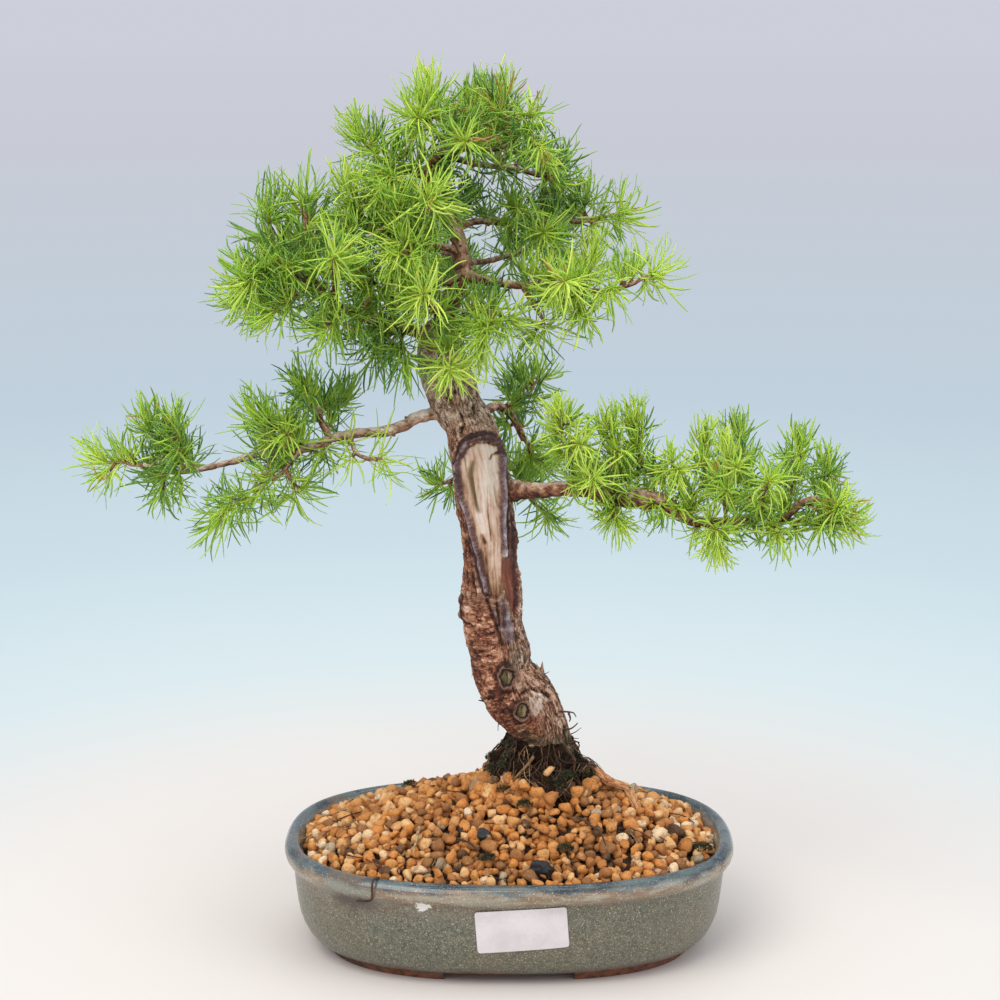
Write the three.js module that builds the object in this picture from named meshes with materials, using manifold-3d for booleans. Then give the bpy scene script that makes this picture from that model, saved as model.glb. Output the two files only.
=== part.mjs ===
// European larch bonsai in a glazed oval pot, in millimetres, +Z up.
// While it is built, the origin is the middle of the pot on the table, +X is right and +Y is away from the
// viewer. At the end the group is moved so that the origin is the middle of the whole plant's footprint.
import * as THREE from "three";
import { mergeVertices } from "three/addons/utils/BufferGeometryUtils.js";
import Module from "manifold-3d";

const wasm = await Module();
wasm.setup();

// Driving dimensions of the pot.
const POT_LENGTH = 266;
const POT_WIDTH = 190;
const POT_OVAL = 2.5; // exponent of the oval: 2 is an ellipse, more is squarer
const POT_SEGMENTS = 36;
const FOOT_HEIGHT = 6;
const FOOT_INSET = 24;
const FOOT_THICK = 13;
const FOOT_GAP = 80; // width of the cut in the foot ring, at the front and at the back
const FLOOR_TOP = 13;
const DRAIN_RADIUS = 9;
const DRAIN_SPREAD = 110; // between the two drain holes
const NET_SIZE = 26;
const NET_THICK = 1.2;

// Driving dimensions of the label on the front wall.
const LABEL = { width: 52, height: 26, thick: 0.5, x: 7, z: 39.1, tilt: 0.075 };

// Driving dimensions of the soil.
const SOIL_EDGE = 60; // height at the rim
const SOIL_TOP = 98; // height at the trunk
const SOIL_PEAK = [18, 12];
const SOIL_FALL = 1.32; // how the heap falls off from the trunk: 1 is a straight cone
const GRAIN_PITCH = 13;
const GRAIN_RISE = 4.2;

// Gap kept between pieces that touch, and how far a cut surface may be smoothed over to drop its slivers.
const GAP = 0.35;
const SLIVER = 0.1;

// Sizes of the twigs and needles.
const TWIG_RADIUS = 1;
const TWIG_SIDES = 5;
const NEEDLE_RADIUS = 0.5;
const NEEDLE_LENGTH = 27;
const ARCHED_SHARE = 0.27; // of the needles; the rest are straight
const WHORL_HEIGHT = 1.5;

// The trunk: x, y, z of its middle line and its radius.
const TRUNK = [
  [20, 14, 58, 15],
  [19, 14, 84, 25],
  [18, 13, 98, 24.5],
  [18, 13, 107, 22.5],
  [19, 12, 116, 19.4],
  [18.6, 11, 126, 16.8],
  [13, 10, 137, 19.2],
  [4.4, 8, 150, 20],
  [-3.2, 6, 163, 18],
  [-5.6, 5, 176, 17.9],
  [-9.8, 4, 194, 17.8],
  [-10, 3, 213, 17.8],
  [-11, 2, 231, 16.8],
  [-12, 1, 249, 17.2],
  [-15, 0, 268, 17.2],
  [-17, 0, 285, 16.8],
  [-19.4, 0, 297, 16.2],
  [-23, 0, 309, 15.2],
  [-29, 0, 321, 14.4],
  [-33, 0, 332, 14.8],
  [-37, -1, 344, 14.6],
  [-39, -2, 356, 13.2],
  [-40, -3, 366, 10.5],
  [-39, -4, 373, 6],
];
const POLYGON_SHARE = 0.92; // how far out a polygon's flat sides lie, against its corners
const TRUNK_SIDES = 16;
const TRUNK_RINGS = 28;

// The deadwood panel: the bark is gone between these angles from the front, left and right, at each height.
const PANEL = [
  [206, 0.02, 0.12],
  [218, -0.14, 0.26],
  [254, -0.5, 0.48],
  [284, -0.72, 0.7],
  [300, -0.62, 0.72],
  [311, -0.1, 0.5],
];
const PANEL_DEPTH = 2.2;
const CALLUS_RISE = 1.3;
const CALLUS_WIDTH = 0.24;

// Healed branch scars: where they are, which way they face and their radius.
const SCARS = [
  { at: [1, -13, 163], face: [-0.12, -1, 0.1], radius: 4.4 },
  { at: [9, -11, 143], face: [-0.1, -1, 0.15], radius: 5 },
  { at: [-26, 0, 205], face: [-1, -0.25, 0.1], radius: 4.2 },
];

// The limbs: start and end radius, and the route of the middle line. Each starts inside what carries it.
const LIMBS = {
  leader: { radius: [6.6, 2.6], route: [[-39, -3, 358], [-35, -4, 378], [-31, -5, 389], [-27, -6, 402],
    [-28, -6, 415], [-31, -7, 425], [-36, -8, 433], [-42, -9, 442], [-46, -10, 451], [-44, -11, 460],
    [-40, -12, 466], [-34, -12, 470]] },
  apex: { radius: [2.8, 1.2], route: [[-35, -12, 469], [-25, -12, 472], [-15, -13, 471], [-5, -14, 472],
    [5, -16, 478], [12, -18, 485]] },
  secondStem: { radius: [2, 1.8], route: [[-32, -7, 427], [-36, -4, 441], [-36, -2, 452], [-34, -5, 463],
    [-34, -11, 469]] },
  tipTwig: { radius: [1.8, 1.2], route: [[-35, -12, 470], [-39, -12, 478], [-43, -12, 484], [-46, -12, 488]] },
  apexLow: { radius: [2, 1.2], route: [[-37, -11, 467], [-22, -2, 462], [-10, 6, 459], [3, 12, 457],
    [17, 16, 453]] },
  apexBack: { radius: [2, 1.2], route: [[-33, -12, 470], [-27, 12, 473], [-18, 34, 478], [-10, 50, 482]] },
  upperRight: { radius: [2.4, 1.2], route: [[-31, -7, 426], [-18, 4, 428], [-3, 10, 427], [12, 14, 425],
    [29, 18, 426], [46, 22, 427], [54, 24, 428]] },
  upperLeft: { radius: [1.9, 1.2], route: [[-45, -10, 453], [-55, -6, 457], [-63, -4, 459], [-71, -3, 464]] },
  leaderFront: { radius: [1.8, 1.2], route: [[-39, -9, 437], [-43, -24, 440], [-45, -37, 443]] },
  midLeft: { radius: [2.2, 1.2], route: [[-28, -6, 413], [-45, -14, 418], [-61, -20, 422], [-79, -24, 428]] },
  centreLeft: { radius: [2.2, 1.2], route: [[-29, -6, 396], [-41, -10, 395], [-55, -14, 394],
    [-68, -16, 391]] },
  midRight: { radius: [2.8, 1.2], route: [[-27, -6, 400], [-16, -8, 397], [-4, -10, 395], [8, -11, 394],
    [20, -13, 396], [30, -16, 395], [41, -18, 393], [52, -18, 392], [63, -18, 394], [71, -18, 397]] },
  midRightDrop: { radius: [1.6, 1.1], route: [[8, -11, 394], [12, -14, 385], [17, -16, 378]] },
  left: { radius: [3.6, 1.3], route: [[-41, -4, 363], [-59, -16, 371], [-75, -26, 376], [-91, -34, 384],
    [-106, -38, 395], [-120, -40, 405], [-131, -42, 409]] },
  leftHigh: { radius: [1.7, 1.2], route: [[-106, -38, 395], [-111, -36, 411], [-113, -34, 424],
    [-112, -34, 434]] },
  leftBack: { radius: [1.7, 1.2], route: [[-120, -40, 405], [-129, -36, 419], [-131, -34, 428]] },
  leftFront: { radius: [1.7, 1.2], route: [[-97, -35, 388], [-96, -50, 403], [-96, -60, 411]] },
  frontStar: { radius: [2, 1.2], route: [[-38, -6, 366], [-41, -30, 380], [-45, -48, 391]] },
  frontDrop: { radius: [2, 1.2], route: [[-36, -6, 362], [-34, -32, 361], [-34, -47, 358]] },
  frontRight: { radius: [2, 1.2], route: [[-35, -5, 372], [-20, -18, 380], [-8, -24, 380]] },
  frontLeft: { radius: [1.8, 1.2], route: [[-59, -16, 371], [-66, -10, 367], [-72, -7, 365]] },
  rearLeft: { radius: [2.2, 1.2], route: [[-28, -6, 411], [-40, 24, 409], [-57, 52, 413], [-72, 70, 419]] },
  rearMid: { radius: [2.4, 1.2], route: [[-36, -4, 368], [-31, 26, 380], [-30, 56, 385], [-34, 82, 388]] },
  rearRight: { radius: [2.2, 1.2], route: [[-27, -6, 407], [-15, 24, 403], [3, 46, 404], [19, 58, 408]] },
  lowLeft: { radius: [3.8, 1.3], route: [[-34, 0, 321], [-53, -6, 317], [-60, -8, 313], [-73, -10, 310],
    [-87, -12, 309], [-102, -14, 307], [-112, -15, 302], [-129, -17, 300], [-148, -18, 297],
    [-162, -19, 293], [-176, -20, 290], [-193, -21, 289], [-208, -22, 293]] },
  lowLeftStub: { radius: [2, 1.7], route: [[-102, -14, 307], [-107, -12, 315], [-109, -12, 323]] },
  lowLeftHang: { radius: [1.6, 1.2], route: [[-119, -16, 301], [-123, -22, 295], [-127, -26, 291]] },
  lowLeftShoot: { radius: [1.5, 1.1], route: [[-91, -12, 308], [-87, -20, 300], [-79, -25, 297]] },
  lowRight: { radius: [6.4, 1.4], route: [[-12, 0, 272], [6, -10, 275], [20, -18, 277], [37, -24, 280],
    [51, -28, 279], [62, -30, 276], [75, -33, 276], [87, -35, 274], [98, -36, 267], [108, -36, 263],
    [120, -35, 263], [134, -34, 264], [145, -33, 266], [158, -32, 263], [167, -31, 261], [176, -30, 260]] },
  lowRightStub: { radius: [2.6, 2.3], route: [[155, -32, 264], [164, -34, 273], [174, -36, 277]] },
  lowRightStars: { radius: [2, 1.2], route: [[34, -24, 279], [35, -32, 292], [32, -36, 306]] },
  lowRightRise: { radius: [2.2, 1.2], route: [[58, -29, 277], [64, -22, 284], [74, -18, 287], [85, -20, 288]] },
  rearLimb: { radius: [3.4, 2], route: [[-29, 2, 313], [-14, 16, 317], [-7, 26, 318], [-1, 34, 313],
    [5, 40, 304], [9, 45, 294]] },
  rearLimbUp: { radius: [1.9, 1.2], route: [[-1, 34, 313], [3, 42, 317], [13, 51, 322]] },
  rearBranch: { radius: [3, 1.5], route: [[-15, 4, 283], [-16, 34, 283], [-15, 60, 275], [-14, 80, 266]] },
  rearBranchLeft: { radius: [1.7, 1.2], route: [[-15, 60, 275], [-28, 74, 267], [-37, 87, 259]] },
  rearBranchRight: { radius: [1.9, 1.2], route: [[-15, 50, 277], [1, 66, 265], [17, 79, 246]] },
  surfaceRoot: { radius: [3.4, 1.5], route: [[28, 12, 112], [34, 12, 111], [42, 12, 105], [52, 9, 100],
    [59, 5, 95], [69, 5, 90], [74, -4, 84], [79, -11, 76], [83, -15, 69]] },
};

// The sprays: the limb that carries each, and its shoots. A shoot is the places of its whorls, going outwards.
const SPRAYS = {
  crown_tip: { limb: "tipTwig", shoots: [[[-46, -12, 493], [-45, -12, 498]], [[-50, -24, 488]]] },
  crown_mid: { limb: "apex", shoots: [[[-24, -8, 481], [-20, 0, 494]], [[-24, -32, 476]]] },
  crown_right: { limb: "apex", shoots: [[[-5, -12, 485], [-4, -10, 497]]] },
  crown_end: { limb: "apex", shoots: [[[12, -20, 489]], [[12, -26, 477], [18, -30, 469]]] },
  crown_low: { limb: "apexLow", shoots: [[[26, 18, 450]], [[24, 32, 458]]] },
  crown_back: { limb: "apexBack", shoots: [[[-7, 60, 486]], [[-18, 62, 483]]] },
  upper_right_inner: { limb: "upperRight", shoots: [[[5, 2, 436]], [[19, -4, 423]]] },
  upper_right_tip: { limb: "upperRight", shoots: [[[63, 26, 430]], [[42, 30, 436]]] },
  leader_side: { limb: "leader", shoots: [[[-26, 10, 434], [-23, 14, 441]]] },
  upper_left_tip: { limb: "upperLeft", shoots: [[[-77, -4, 469], [-82, -4, 475]]] },
  upper_left_front: { limb: "upperLeft", shoots: [[[-66, -22, 457], [-69, -30, 452]]] },
  leader_front: { limb: "leaderFront", shoots: [[[-45, -46, 447]]] },
  mid_left_tip: { limb: "midLeft", shoots: [[[-85, -28, 439], [-87, -30, 449]], [[-91, -42, 426]]] },
  mid_left_top: { limb: "midLeft", shoots: [[[-62, -34, 433], [-62, -42, 442]]] },
  mid_left_front: { limb: "midLeft", shoots: [[[-54, -36, 419], [-61, -50, 417]]] },
  centre_left: { limb: "centreLeft", shoots: [[[-77, -28, 400], [-82, -36, 406]], [[-78, -28, 385]],
    [[-56, -36, 406]]] },
  left_tip: { limb: "left", shoots: [[[-138, -50, 407], [-142, -55, 402]],
    [[-141, -28, 397], [-148, -24, 389]]] },
  left_back: { limb: "leftBack", shoots: [[[-133, -34, 437]]] },
  left_high: { limb: "leftHigh", shoots: [[[-113, -34, 444]]] },
  left_front: { limb: "leftFront", shoots: [[[-95, -69, 417]]] },
  left_low: { limb: "left", shoots: [[[-121, -50, 391], [-129, -56, 386]],
    [[-120, -14, 407], [-124, 0, 415]]] },
  left_drop: { limb: "left", shoots: [[[-97, -46, 379], [-101, -54, 374]]] },
  front_star: { limb: "frontStar", shoots: [[[-47, -58, 396]]] },
  front_drop: { limb: "frontDrop", shoots: [[[-33, -56, 355]]] },
  front_right: { limb: "frontRight", shoots: [[[0, -30, 377]], [[-13, -40, 375], [-15, -46, 368]]] },
  front_left: { limb: "frontLeft", shoots: [[[-77, -3, 361], [-76, -2, 353]],
    [[-60, -26, 361], [-58, -32, 355]]] },
  mid_right_drop: { limb: "midRightDrop", shoots: [[[20, -17, 372]]] },
  mid_right_star: { limb: "midRight", shoots: [[[30, -40, 400]], [[44, -8, 401], [46, -4, 408]],
    [[38, -26, 382]]] },
  mid_right_tip: { limb: "midRight", shoots: [[[80, -18, 401]]] },
  rear_left: { limb: "rearLeft", shoots: [[[-78, 84, 425]], [[-62, 66, 428]]] },
  rear_mid: { limb: "rearMid", shoots: [[[-36, 96, 395]], [[-22, 84, 380]]] },
  rear_right: { limb: "rearRight", shoots: [[[26, 68, 412]]] },
  low_left_inner: { limb: "lowLeftStub", shoots: [[[-112, -18, 331], [-116, -22, 338]],
    [[-103, 2, 322], [-97, 10, 326]]] },
  low_left_bright: { limb: "lowLeft", shoots: [[[-125, -28, 313], [-140, -26, 320]]] },
  low_left_hang: { limb: "lowLeftHang", shoots: [[[-134, -30, 287], [-150, -34, 278], [-163, -38, 266]],
    [[-122, -22, 277]]] },
  low_left_shoot: { limb: "lowLeftShoot", shoots: [[[-72, -28, 298]]] },
  low_left_outer: { limb: "lowLeft", shoots: [[[-199, -18, 301], [-203, -18, 314]], [[-199, -10, 280]]] },
  low_left_rise: { limb: "lowLeft", shoots: [[[-178, -30, 303], [-179, -36, 316]]] },
  low_left_tip: { limb: "lowLeft", shoots: [[[-219, -24, 295], [-228, -25, 295]]] },
  low_right_stars: { limb: "lowRightStars", shoots: [[[29, -42, 319], [28, -46, 327]], [[38, -54, 312]]] },
  low_right_front: { limb: "lowRight", shoots: [[[46, -58, 293]], [[59, -36, 271], [61, -38, 265]]] },
  low_right_rise: { limb: "lowRightRise", shoots: [[[60, -34, 303], [56, -38, 317]],
    [[73, -22, 304], [71, -24, 318]]] },
  low_right_mid: { limb: "lowRightRise", shoots: [[[94, -44, 295]]] },
  low_right_high: { limb: "lowRight", shoots: [[[110, -28, 286], [110, -24, 306]]] },
  low_right_bright: { limb: "lowRight", shoots: [[[122, -48, 284], [121, -50, 304]],
    [[115, -52, 262], [116, -53, 255]]] },
  low_right_back: { limb: "lowRight", shoots: [[[133, -8, 287], [132, 0, 305]]] },
  low_right_outer: { limb: "lowRight", shoots: [[[144, -52, 290]], [[151, -44, 259]]] },
  low_right_stub: { limb: "lowRight", shoots: [[[163, -26, 290], [164, -26, 304]],
    [[179, -16, 277], [180, -12, 288]]] },
  low_right_tip: { limb: "lowRight", shoots: [[[182, -31, 261], [190, -32, 261]], [[184, -43, 273]]] },
  rear_limb_up: { limb: "rearLimbUp", shoots: [[[18, 60, 328]], [[5, 66, 327]]] },
  rear_limb_end: { limb: "rearLimb", shoots: [[[12, 48, 286], [20, 52, 279]]] },
  rear_branch_left: { limb: "rearBranchLeft", shoots: [[[-43, 93, 256]]] },
  rear_branch_right: { limb: "rearBranchRight", shoots: [[[23, 84, 239]], [[4, 82, 268]]] },
};

// Repeatable random numbers.
let seedState = 20731;
function random() {
  seedState = (seedState * 1664525 + 1013904223) % 4294967296;
  return seedState / 4294967296;
}
const between = (low, high) => low + (high - low) * random();
const vec = ([x, y, z]) => new THREE.Vector3(x, y, z);
const mix = (a, b, share) => a + (b - a) * share;
const clamp01 = (value) => Math.min(1, Math.max(0, value));

// A closed surface put together point by point, facing out.
class Skin {
  points = [];
  faces = [];

  ring(points) {
    return points.map((p) => this.points.push(p) - 1);
  }
  point(p) {
    return this.points.push(p) - 1;
  }
  face(a, b, c) {
    this.faces.push([a, b, c]);
  }
  // The band from one ring to the next above it, as two faces for each side.
  band(lower, upper) {
    const made = [];
    lower.forEach((a, i) => {
      const next = (i + 1) % lower.length;
      made.push([a, lower[next], upper[next]], [a, upper[next], upper[i]]);
    });
    return made;
  }
  addBand(lower, upper) {
    this.band(lower, upper).forEach((f) => this.face(...f));
  }
  // The fans that close a surface below its first ring and above its last.
  closeBelow(ring, apex) {
    ring.forEach((a, i) => this.face(apex, ring[(i + 1) % ring.length], a));
  }
  closeAbove(ring, apex) {
    ring.forEach((a, i) => this.face(a, ring[(i + 1) % ring.length], apex));
  }
  solid() {
    return new wasm.Manifold(
      new wasm.Mesh({
        numProp: 3,
        vertProperties: new Float32Array(this.points.flatMap((p) => [p.x, p.y, p.z])),
        triVerts: new Uint32Array(this.faces.flat()),
      }),
    );
  }
}

// A closed skin through rings of points, with a point that closes each end.
function loft(rings, lowApex, highApex) {
  const skin = new Skin();
  const made = rings.map((points) => skin.ring(points));
  made.slice(1).forEach((ring, i) => skin.addBand(made[i], ring));
  skin.closeBelow(made[0], skin.point(lowApex));
  skin.closeAbove(made[made.length - 1], skin.point(highApex));
  return skin.solid();
}

function solidFrom(geometry) {
  const bare = geometry.index ? geometry.toNonIndexed() : geometry.clone();
  bare.deleteAttribute("normal");
  bare.deleteAttribute("uv");
  const merged = mergeVertices(bare, 1e-4);
  return new wasm.Manifold(
    new wasm.Mesh({
      numProp: 3,
      vertProperties: merged.attributes.position.array,
      triVerts: new Uint32Array(merged.index.array),
    }),
  );
}

function geometryFrom(solid) {
  const mesh = solid.getMesh();
  const positions = new Float32Array(mesh.numVert * 3);
  for (let i = 0; i < mesh.numVert; i++)
    positions.set(mesh.vertProperties.subarray(i * mesh.numProp, i * mesh.numProp + 3), i * 3);
  return new THREE.BufferGeometry()
    .setAttribute("position", new THREE.BufferAttribute(positions, 3))
    .setIndex(new THREE.BufferAttribute(mesh.triVerts, 1));
}

// A tube along a route, each ring's radius given by a function of the share along it and the angle round it.
function tube(curve, sides, rings, radiusAt, swell = 0) {
  const frames = curve.computeFrenetFrames(rings, false);
  const loops = [];
  for (let i = 0; i <= rings; i++) {
    const share = i / rings;
    const middle = curve.getPointAt(share);
    loops.push(
      Array.from({ length: sides }, (_, k) => {
        const angle = (k / sides) * Math.PI * 2;
        const radius = radiusAt(share, angle, middle) + swell;
        return middle
          .clone()
          .addScaledVector(frames.normals[i], Math.cos(angle) * radius)
          .addScaledVector(frames.binormals[i], Math.sin(angle) * radius);
      }),
    );
  }
  const startRadius = radiusAt(0, 0, curve.getPointAt(0)) + swell;
  const endRadius = radiusAt(1, 0, curve.getPointAt(1)) + swell;
  const low = curve.getPointAt(0).addScaledVector(frames.tangents[0], -startRadius * 0.3);
  const high = curve.getPointAt(1).addScaledVector(frames.tangents[rings], endRadius * 0.9);
  return loft(loops, low, high);
}

// The pot's oval, pulled in by an inset: its points at a height, and how far out a point lies, from 0 to 1.
function ovalPoint(turn, inset) {
  const a = POT_LENGTH / 2 - inset;
  const b = POT_WIDTH / 2 - inset;
  const angle = Math.atan2(b * Math.sin(turn), a * Math.cos(turn));
  const reach =
    (Math.abs(Math.cos(angle) / a) ** POT_OVAL + Math.abs(Math.sin(angle) / b) ** POT_OVAL) ** (-1 / POT_OVAL);
  return [Math.cos(angle) * reach, Math.sin(angle) * reach];
}
function ovalRing(inset, z) {
  return Array.from({ length: POT_SEGMENTS }, (_, i) => {
    const [x, y] = ovalPoint((i / POT_SEGMENTS) * Math.PI * 2, inset);
    return new THREE.Vector3(x, y, z);
  });
}
function ovalShare(x, y, inset) {
  const a = POT_LENGTH / 2 - inset;
  const b = POT_WIDTH / 2 - inset;
  return (Math.abs(x / a) ** POT_OVAL + Math.abs(y / b) ** POT_OVAL) ** (1 / POT_OVAL);
}

// The pot's wall, from the outside bottom over the lip to the floor: inset from the lip's widest line, height.
const POT_OUTSIDE = [[22.4, 5.6], [17.8, 7.4], [12.8, 13], [8.6, 23], [6.2, 38], [5.3, 49.5], [1.6, 55.4]];
const POT_LIP = [[0, 59.5], [1.2, 63.4], [4.6, 66], [8.6, 64.2]];
const POT_INSIDE = [[11.5, 58], [22, 20], [28, FLOOR_TOP]];

function makePot() {
  const profile = [...POT_OUTSIDE, ...POT_LIP, ...POT_INSIDE];
  const rings = profile.map(([inset, z]) => ovalRing(inset, z));
  const bowl = loft(rings, new THREE.Vector3(0, 0, POT_OUTSIDE[0][1]), new THREE.Vector3(0, 0, FLOOR_TOP));
  const footTop = FOOT_HEIGHT + 1;
  const footOuter = [ovalRing(FOOT_INSET, 0), ovalRing(FOOT_INSET - 1.4, footTop)];
  const footInner = [ovalRing(FOOT_INSET + FOOT_THICK, -1), ovalRing(FOOT_INSET + FOOT_THICK, footTop + 1)];
  const middle = (z) => new THREE.Vector3(0, 0, z);
  const ring = loft(footOuter, middle(0), middle(footTop)).subtract(
    loft(footInner, middle(-1), middle(footTop + 1)),
  );
  const cut = solidFrom(new THREE.BoxGeometry(FOOT_GAP, POT_WIDTH * 1.2, 4 * FOOT_HEIGHT));
  const drain = solidFrom(new THREE.CylinderGeometry(DRAIN_RADIUS, DRAIN_RADIUS, 60, 12).rotateX(Math.PI / 2));
  return bowl
    .add(ring.subtract(cut))
    .subtract(drain.translate([-DRAIN_SPREAD / 2, 0, 0]))
    .subtract(drain.translate([DRAIN_SPREAD / 2, 0, 0]));
}

// How far the front wall's surface is pulled in at a height, read along the outside profile.
function wallInset(z) {
  const above = POT_OUTSIDE.findIndex(([, height]) => height >= z);
  const [low, high] = [POT_OUTSIDE[above - 1], POT_OUTSIDE[above]];
  return mix(low[0], high[0], (z - low[1]) / (high[1] - low[1]));
}
function frontWall(x, z) {
  const inset = wallInset(z);
  const a = POT_LENGTH / 2 - inset;
  const b = POT_WIDTH / 2 - inset;
  return -b * (1 - Math.abs(x / a) ** POT_OVAL) ** (1 / POT_OVAL);
}

// The paper sticker follows the wall. Its outline has cut corners, and each column of points runs down it.
function makeLabel() {
  const columns = 7;
  const rows = 3;
  const corner = 2;
  const skin = new Skin();
  const layer = (offset) =>
    Array.from({ length: columns }, (_, i) => {
      const across = (i / (columns - 1) - 0.5) * LABEL.width;
      const edge = i === 0 || i === columns - 1 ? corner : 0;
      return Array.from({ length: rows }, (_, j) => {
        const up = (j / (rows - 1) - 0.5) * (LABEL.height - 2 * edge);
        const x = LABEL.x + across * Math.cos(LABEL.tilt) - up * Math.sin(LABEL.tilt);
        const z = LABEL.z + across * Math.sin(LABEL.tilt) + up * Math.cos(LABEL.tilt);
        return skin.point(new THREE.Vector3(x, frontWall(x, z) - offset, z));
      });
    });
  const back = layer(GAP + 0.25);
  const front = layer(GAP + 0.25 + LABEL.thick);
  for (let i = 0; i < columns - 1; i++)
    for (let j = 0; j < rows - 1; j++) {
      skin.face(front[i][j], front[i + 1][j], front[i + 1][j + 1]);
      skin.face(front[i][j], front[i + 1][j + 1], front[i][j + 1]);
      skin.face(back[i][j], back[i + 1][j + 1], back[i + 1][j]);
      skin.face(back[i][j], back[i][j + 1], back[i + 1][j + 1]);
    }
  const outline = [
    ...Array.from({ length: columns }, (_, i) => [i, 0]),
    ...Array.from({ length: rows - 1 }, (_, j) => [columns - 1, j + 1]),
    ...Array.from({ length: columns - 1 }, (_, i) => [columns - 2 - i, rows - 1]),
    ...Array.from({ length: rows - 2 }, (_, j) => [0, rows - 2 - j]),
  ];
  outline.forEach(([i, j], k) => {
    const [m, n] = outline[(k + 1) % outline.length];
    skin.face(back[i][j], back[m][n], front[m][n]);
    skin.face(back[i][j], front[m][n], front[i][j]);
  });
  return skin.solid();
}

// A square of plastic net for a drain hole.
function makeNet(x) {
  const pitch = 11;
  const mesh = 8;
  const hole = solidFrom(new THREE.BoxGeometry(mesh, mesh, 4 * NET_THICK));
  let net = solidFrom(new THREE.BoxGeometry(NET_SIZE, NET_SIZE, NET_THICK));
  for (const i of [-0.5, 0.5])
    for (const j of [-0.5, 0.5]) net = net.subtract(hole.translate([i * pitch, j * pitch, 0]));
  return net.translate([x, 0, FLOOR_TOP + GAP + NET_THICK / 2]);
}

// The soil's height, heaped up towards the trunk.
function soilHeight(x, y) {
  const out = clamp01(ovalShare(x, y, POT_INSIDE[0][0]));
  const share = clamp01(ovalShare(x - SOIL_PEAK[0] * (1 - out), y - SOIL_PEAK[1] * (1 - out), POT_INSIDE[0][0]));
  return mix(SOIL_TOP, SOIL_EDGE, share ** SOIL_FALL);
}

// A slab of six-sided grains, each with its own peak, over the whole pot. It is cut to the pot's inside.
function grainSlab() {
  const skin = new Skin();
  const rowStep = (GRAIN_PITCH * Math.sqrt(3)) / 2;
  const cornerReach = GRAIN_PITCH / Math.sqrt(3);
  const corners = new Map();
  const corner = (x, y) => {
    const key = Math.round(x * 4) + "," + Math.round(y * 4);
    if (!corners.has(key)) {
      const [u, v] = [x + between(-1.2, 1.2), y + between(-1.2, 1.2)];
      corners.set(key, skin.point(new THREE.Vector3(u, v, soilHeight(u, v) + between(-1, 0.6))));
    }
    return corners.get(key);
  };
  const uses = new Map();
  const rows = Math.ceil(POT_WIDTH / 2 / rowStep);
  const columns = Math.ceil(POT_LENGTH / 2 / GRAIN_PITCH);
  for (let row = -rows; row <= rows; row++)
    for (let column = -columns; column <= columns; column++) {
      const x = (column + (row % 2 ? 0.5 : 0)) * GRAIN_PITCH;
      const y = row * rowStep;
      const round = Array.from({ length: 6 }, (_, k) => {
        const angle = Math.PI / 6 + (k * Math.PI) / 3;
        return corner(x + Math.cos(angle) * cornerReach, y + Math.sin(angle) * cornerReach);
      });
      const [u, v] = [x + between(-2, 2), y + between(-2, 2)];
      const peak = skin.point(new THREE.Vector3(u, v, soilHeight(u, v) + GRAIN_RISE * between(0.55, 1.2)));
      round.forEach((a, k) => {
        const b = round[(k + 1) % 6];
        skin.face(a, b, peak);
        uses.set(a + "," + b, [a, b]);
        uses.delete(b + "," + a) && uses.delete(a + "," + b);
      });
    }
  // The open edges that are left go straight down to a flat bottom.
  const bottom = new Map();
  const below = (a) => {
    if (!bottom.has(a)) bottom.set(a, skin.point(skin.points[a].clone().setZ(FLOOR_TOP - 20)));
    return bottom.get(a);
  };
  const middle = skin.point(new THREE.Vector3(0, 0, FLOOR_TOP - 20));
  for (const [a, b] of uses.values()) {
    skin.face(b, a, below(a));
    skin.face(b, below(a), below(b));
    skin.face(below(b), below(a), middle);
  }
  return skin.solid();
}

// The soil fills the pot's inside, less a small gap, and the heap above it is never wider than the pot's mouth.
function makeSoil(inTheWay) {
  const [bottom, top] = [FLOOR_TOP + GAP, SOIL_TOP + 20];
  const lip = POT_LIP[POT_LIP.length - 1];
  const below = [lip, ...POT_INSIDE].map(([inset, z]) => ovalRing(inset + GAP + 0.15, Math.max(z, bottom)));
  const hollow = [...below.reverse(), ovalRing(lip[0], top)];
  const inside = loft(hollow, new THREE.Vector3(0, 0, bottom), new THREE.Vector3(0, 0, top));
  const net = solidFrom(new THREE.BoxGeometry(NET_SIZE + 1, NET_SIZE + 1, 2 * (NET_THICK + 1)));
  let soil = grainSlab().intersect(inside);
  for (const side of [-1, 1]) soil = soil.subtract(net.translate([(side * DRAIN_SPREAD) / 2, 0, FLOOR_TOP]));
  for (const solid of inTheWay) soil = soil.subtract(solid);
  return largest(soil).simplify(SLIVER);
}

// The biggest of the bodies that a cut leaves.
function largest(solid) {
  return solid.decompose().reduce((best, body) => (body.volume() > best.volume() ? body : best));
}

// The mound of peat, moss and fine roots round the foot of the trunk.
function makeMound(swell = 0) {
  const levels = [[88, 35], [97, 33], [103, 31], [109, 28], [114, 23]];
  const sides = 14;
  const lump = (k, i) => 1 + 0.1 * Math.sin(k * 2.3 + i * 1.7) + 0.08 * Math.sin(k * 5.1 - i * 2.9);
  const rings = levels.map(([z, radius], i) =>
    Array.from({ length: sides }, (_, k) => {
      const angle = (k / sides) * Math.PI * 2;
      const reach = radius * lump(k, i) + swell;
      return new THREE.Vector3(
        SOIL_PEAK[0] + Math.cos(angle) * reach,
        SOIL_PEAK[1] + Math.sin(angle) * reach,
        z + (i ? 2.2 * Math.sin(k * 1.9 + i) : 0) + (i === levels.length - 1 ? swell : 0),
      );
    }),
  );
  const [low, high] = [levels[0][0], levels[levels.length - 1][0]];
  return loft(rings, new THREE.Vector3(...SOIL_PEAK, low), new THREE.Vector3(...SOIL_PEAK, high + swell));
}

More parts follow.
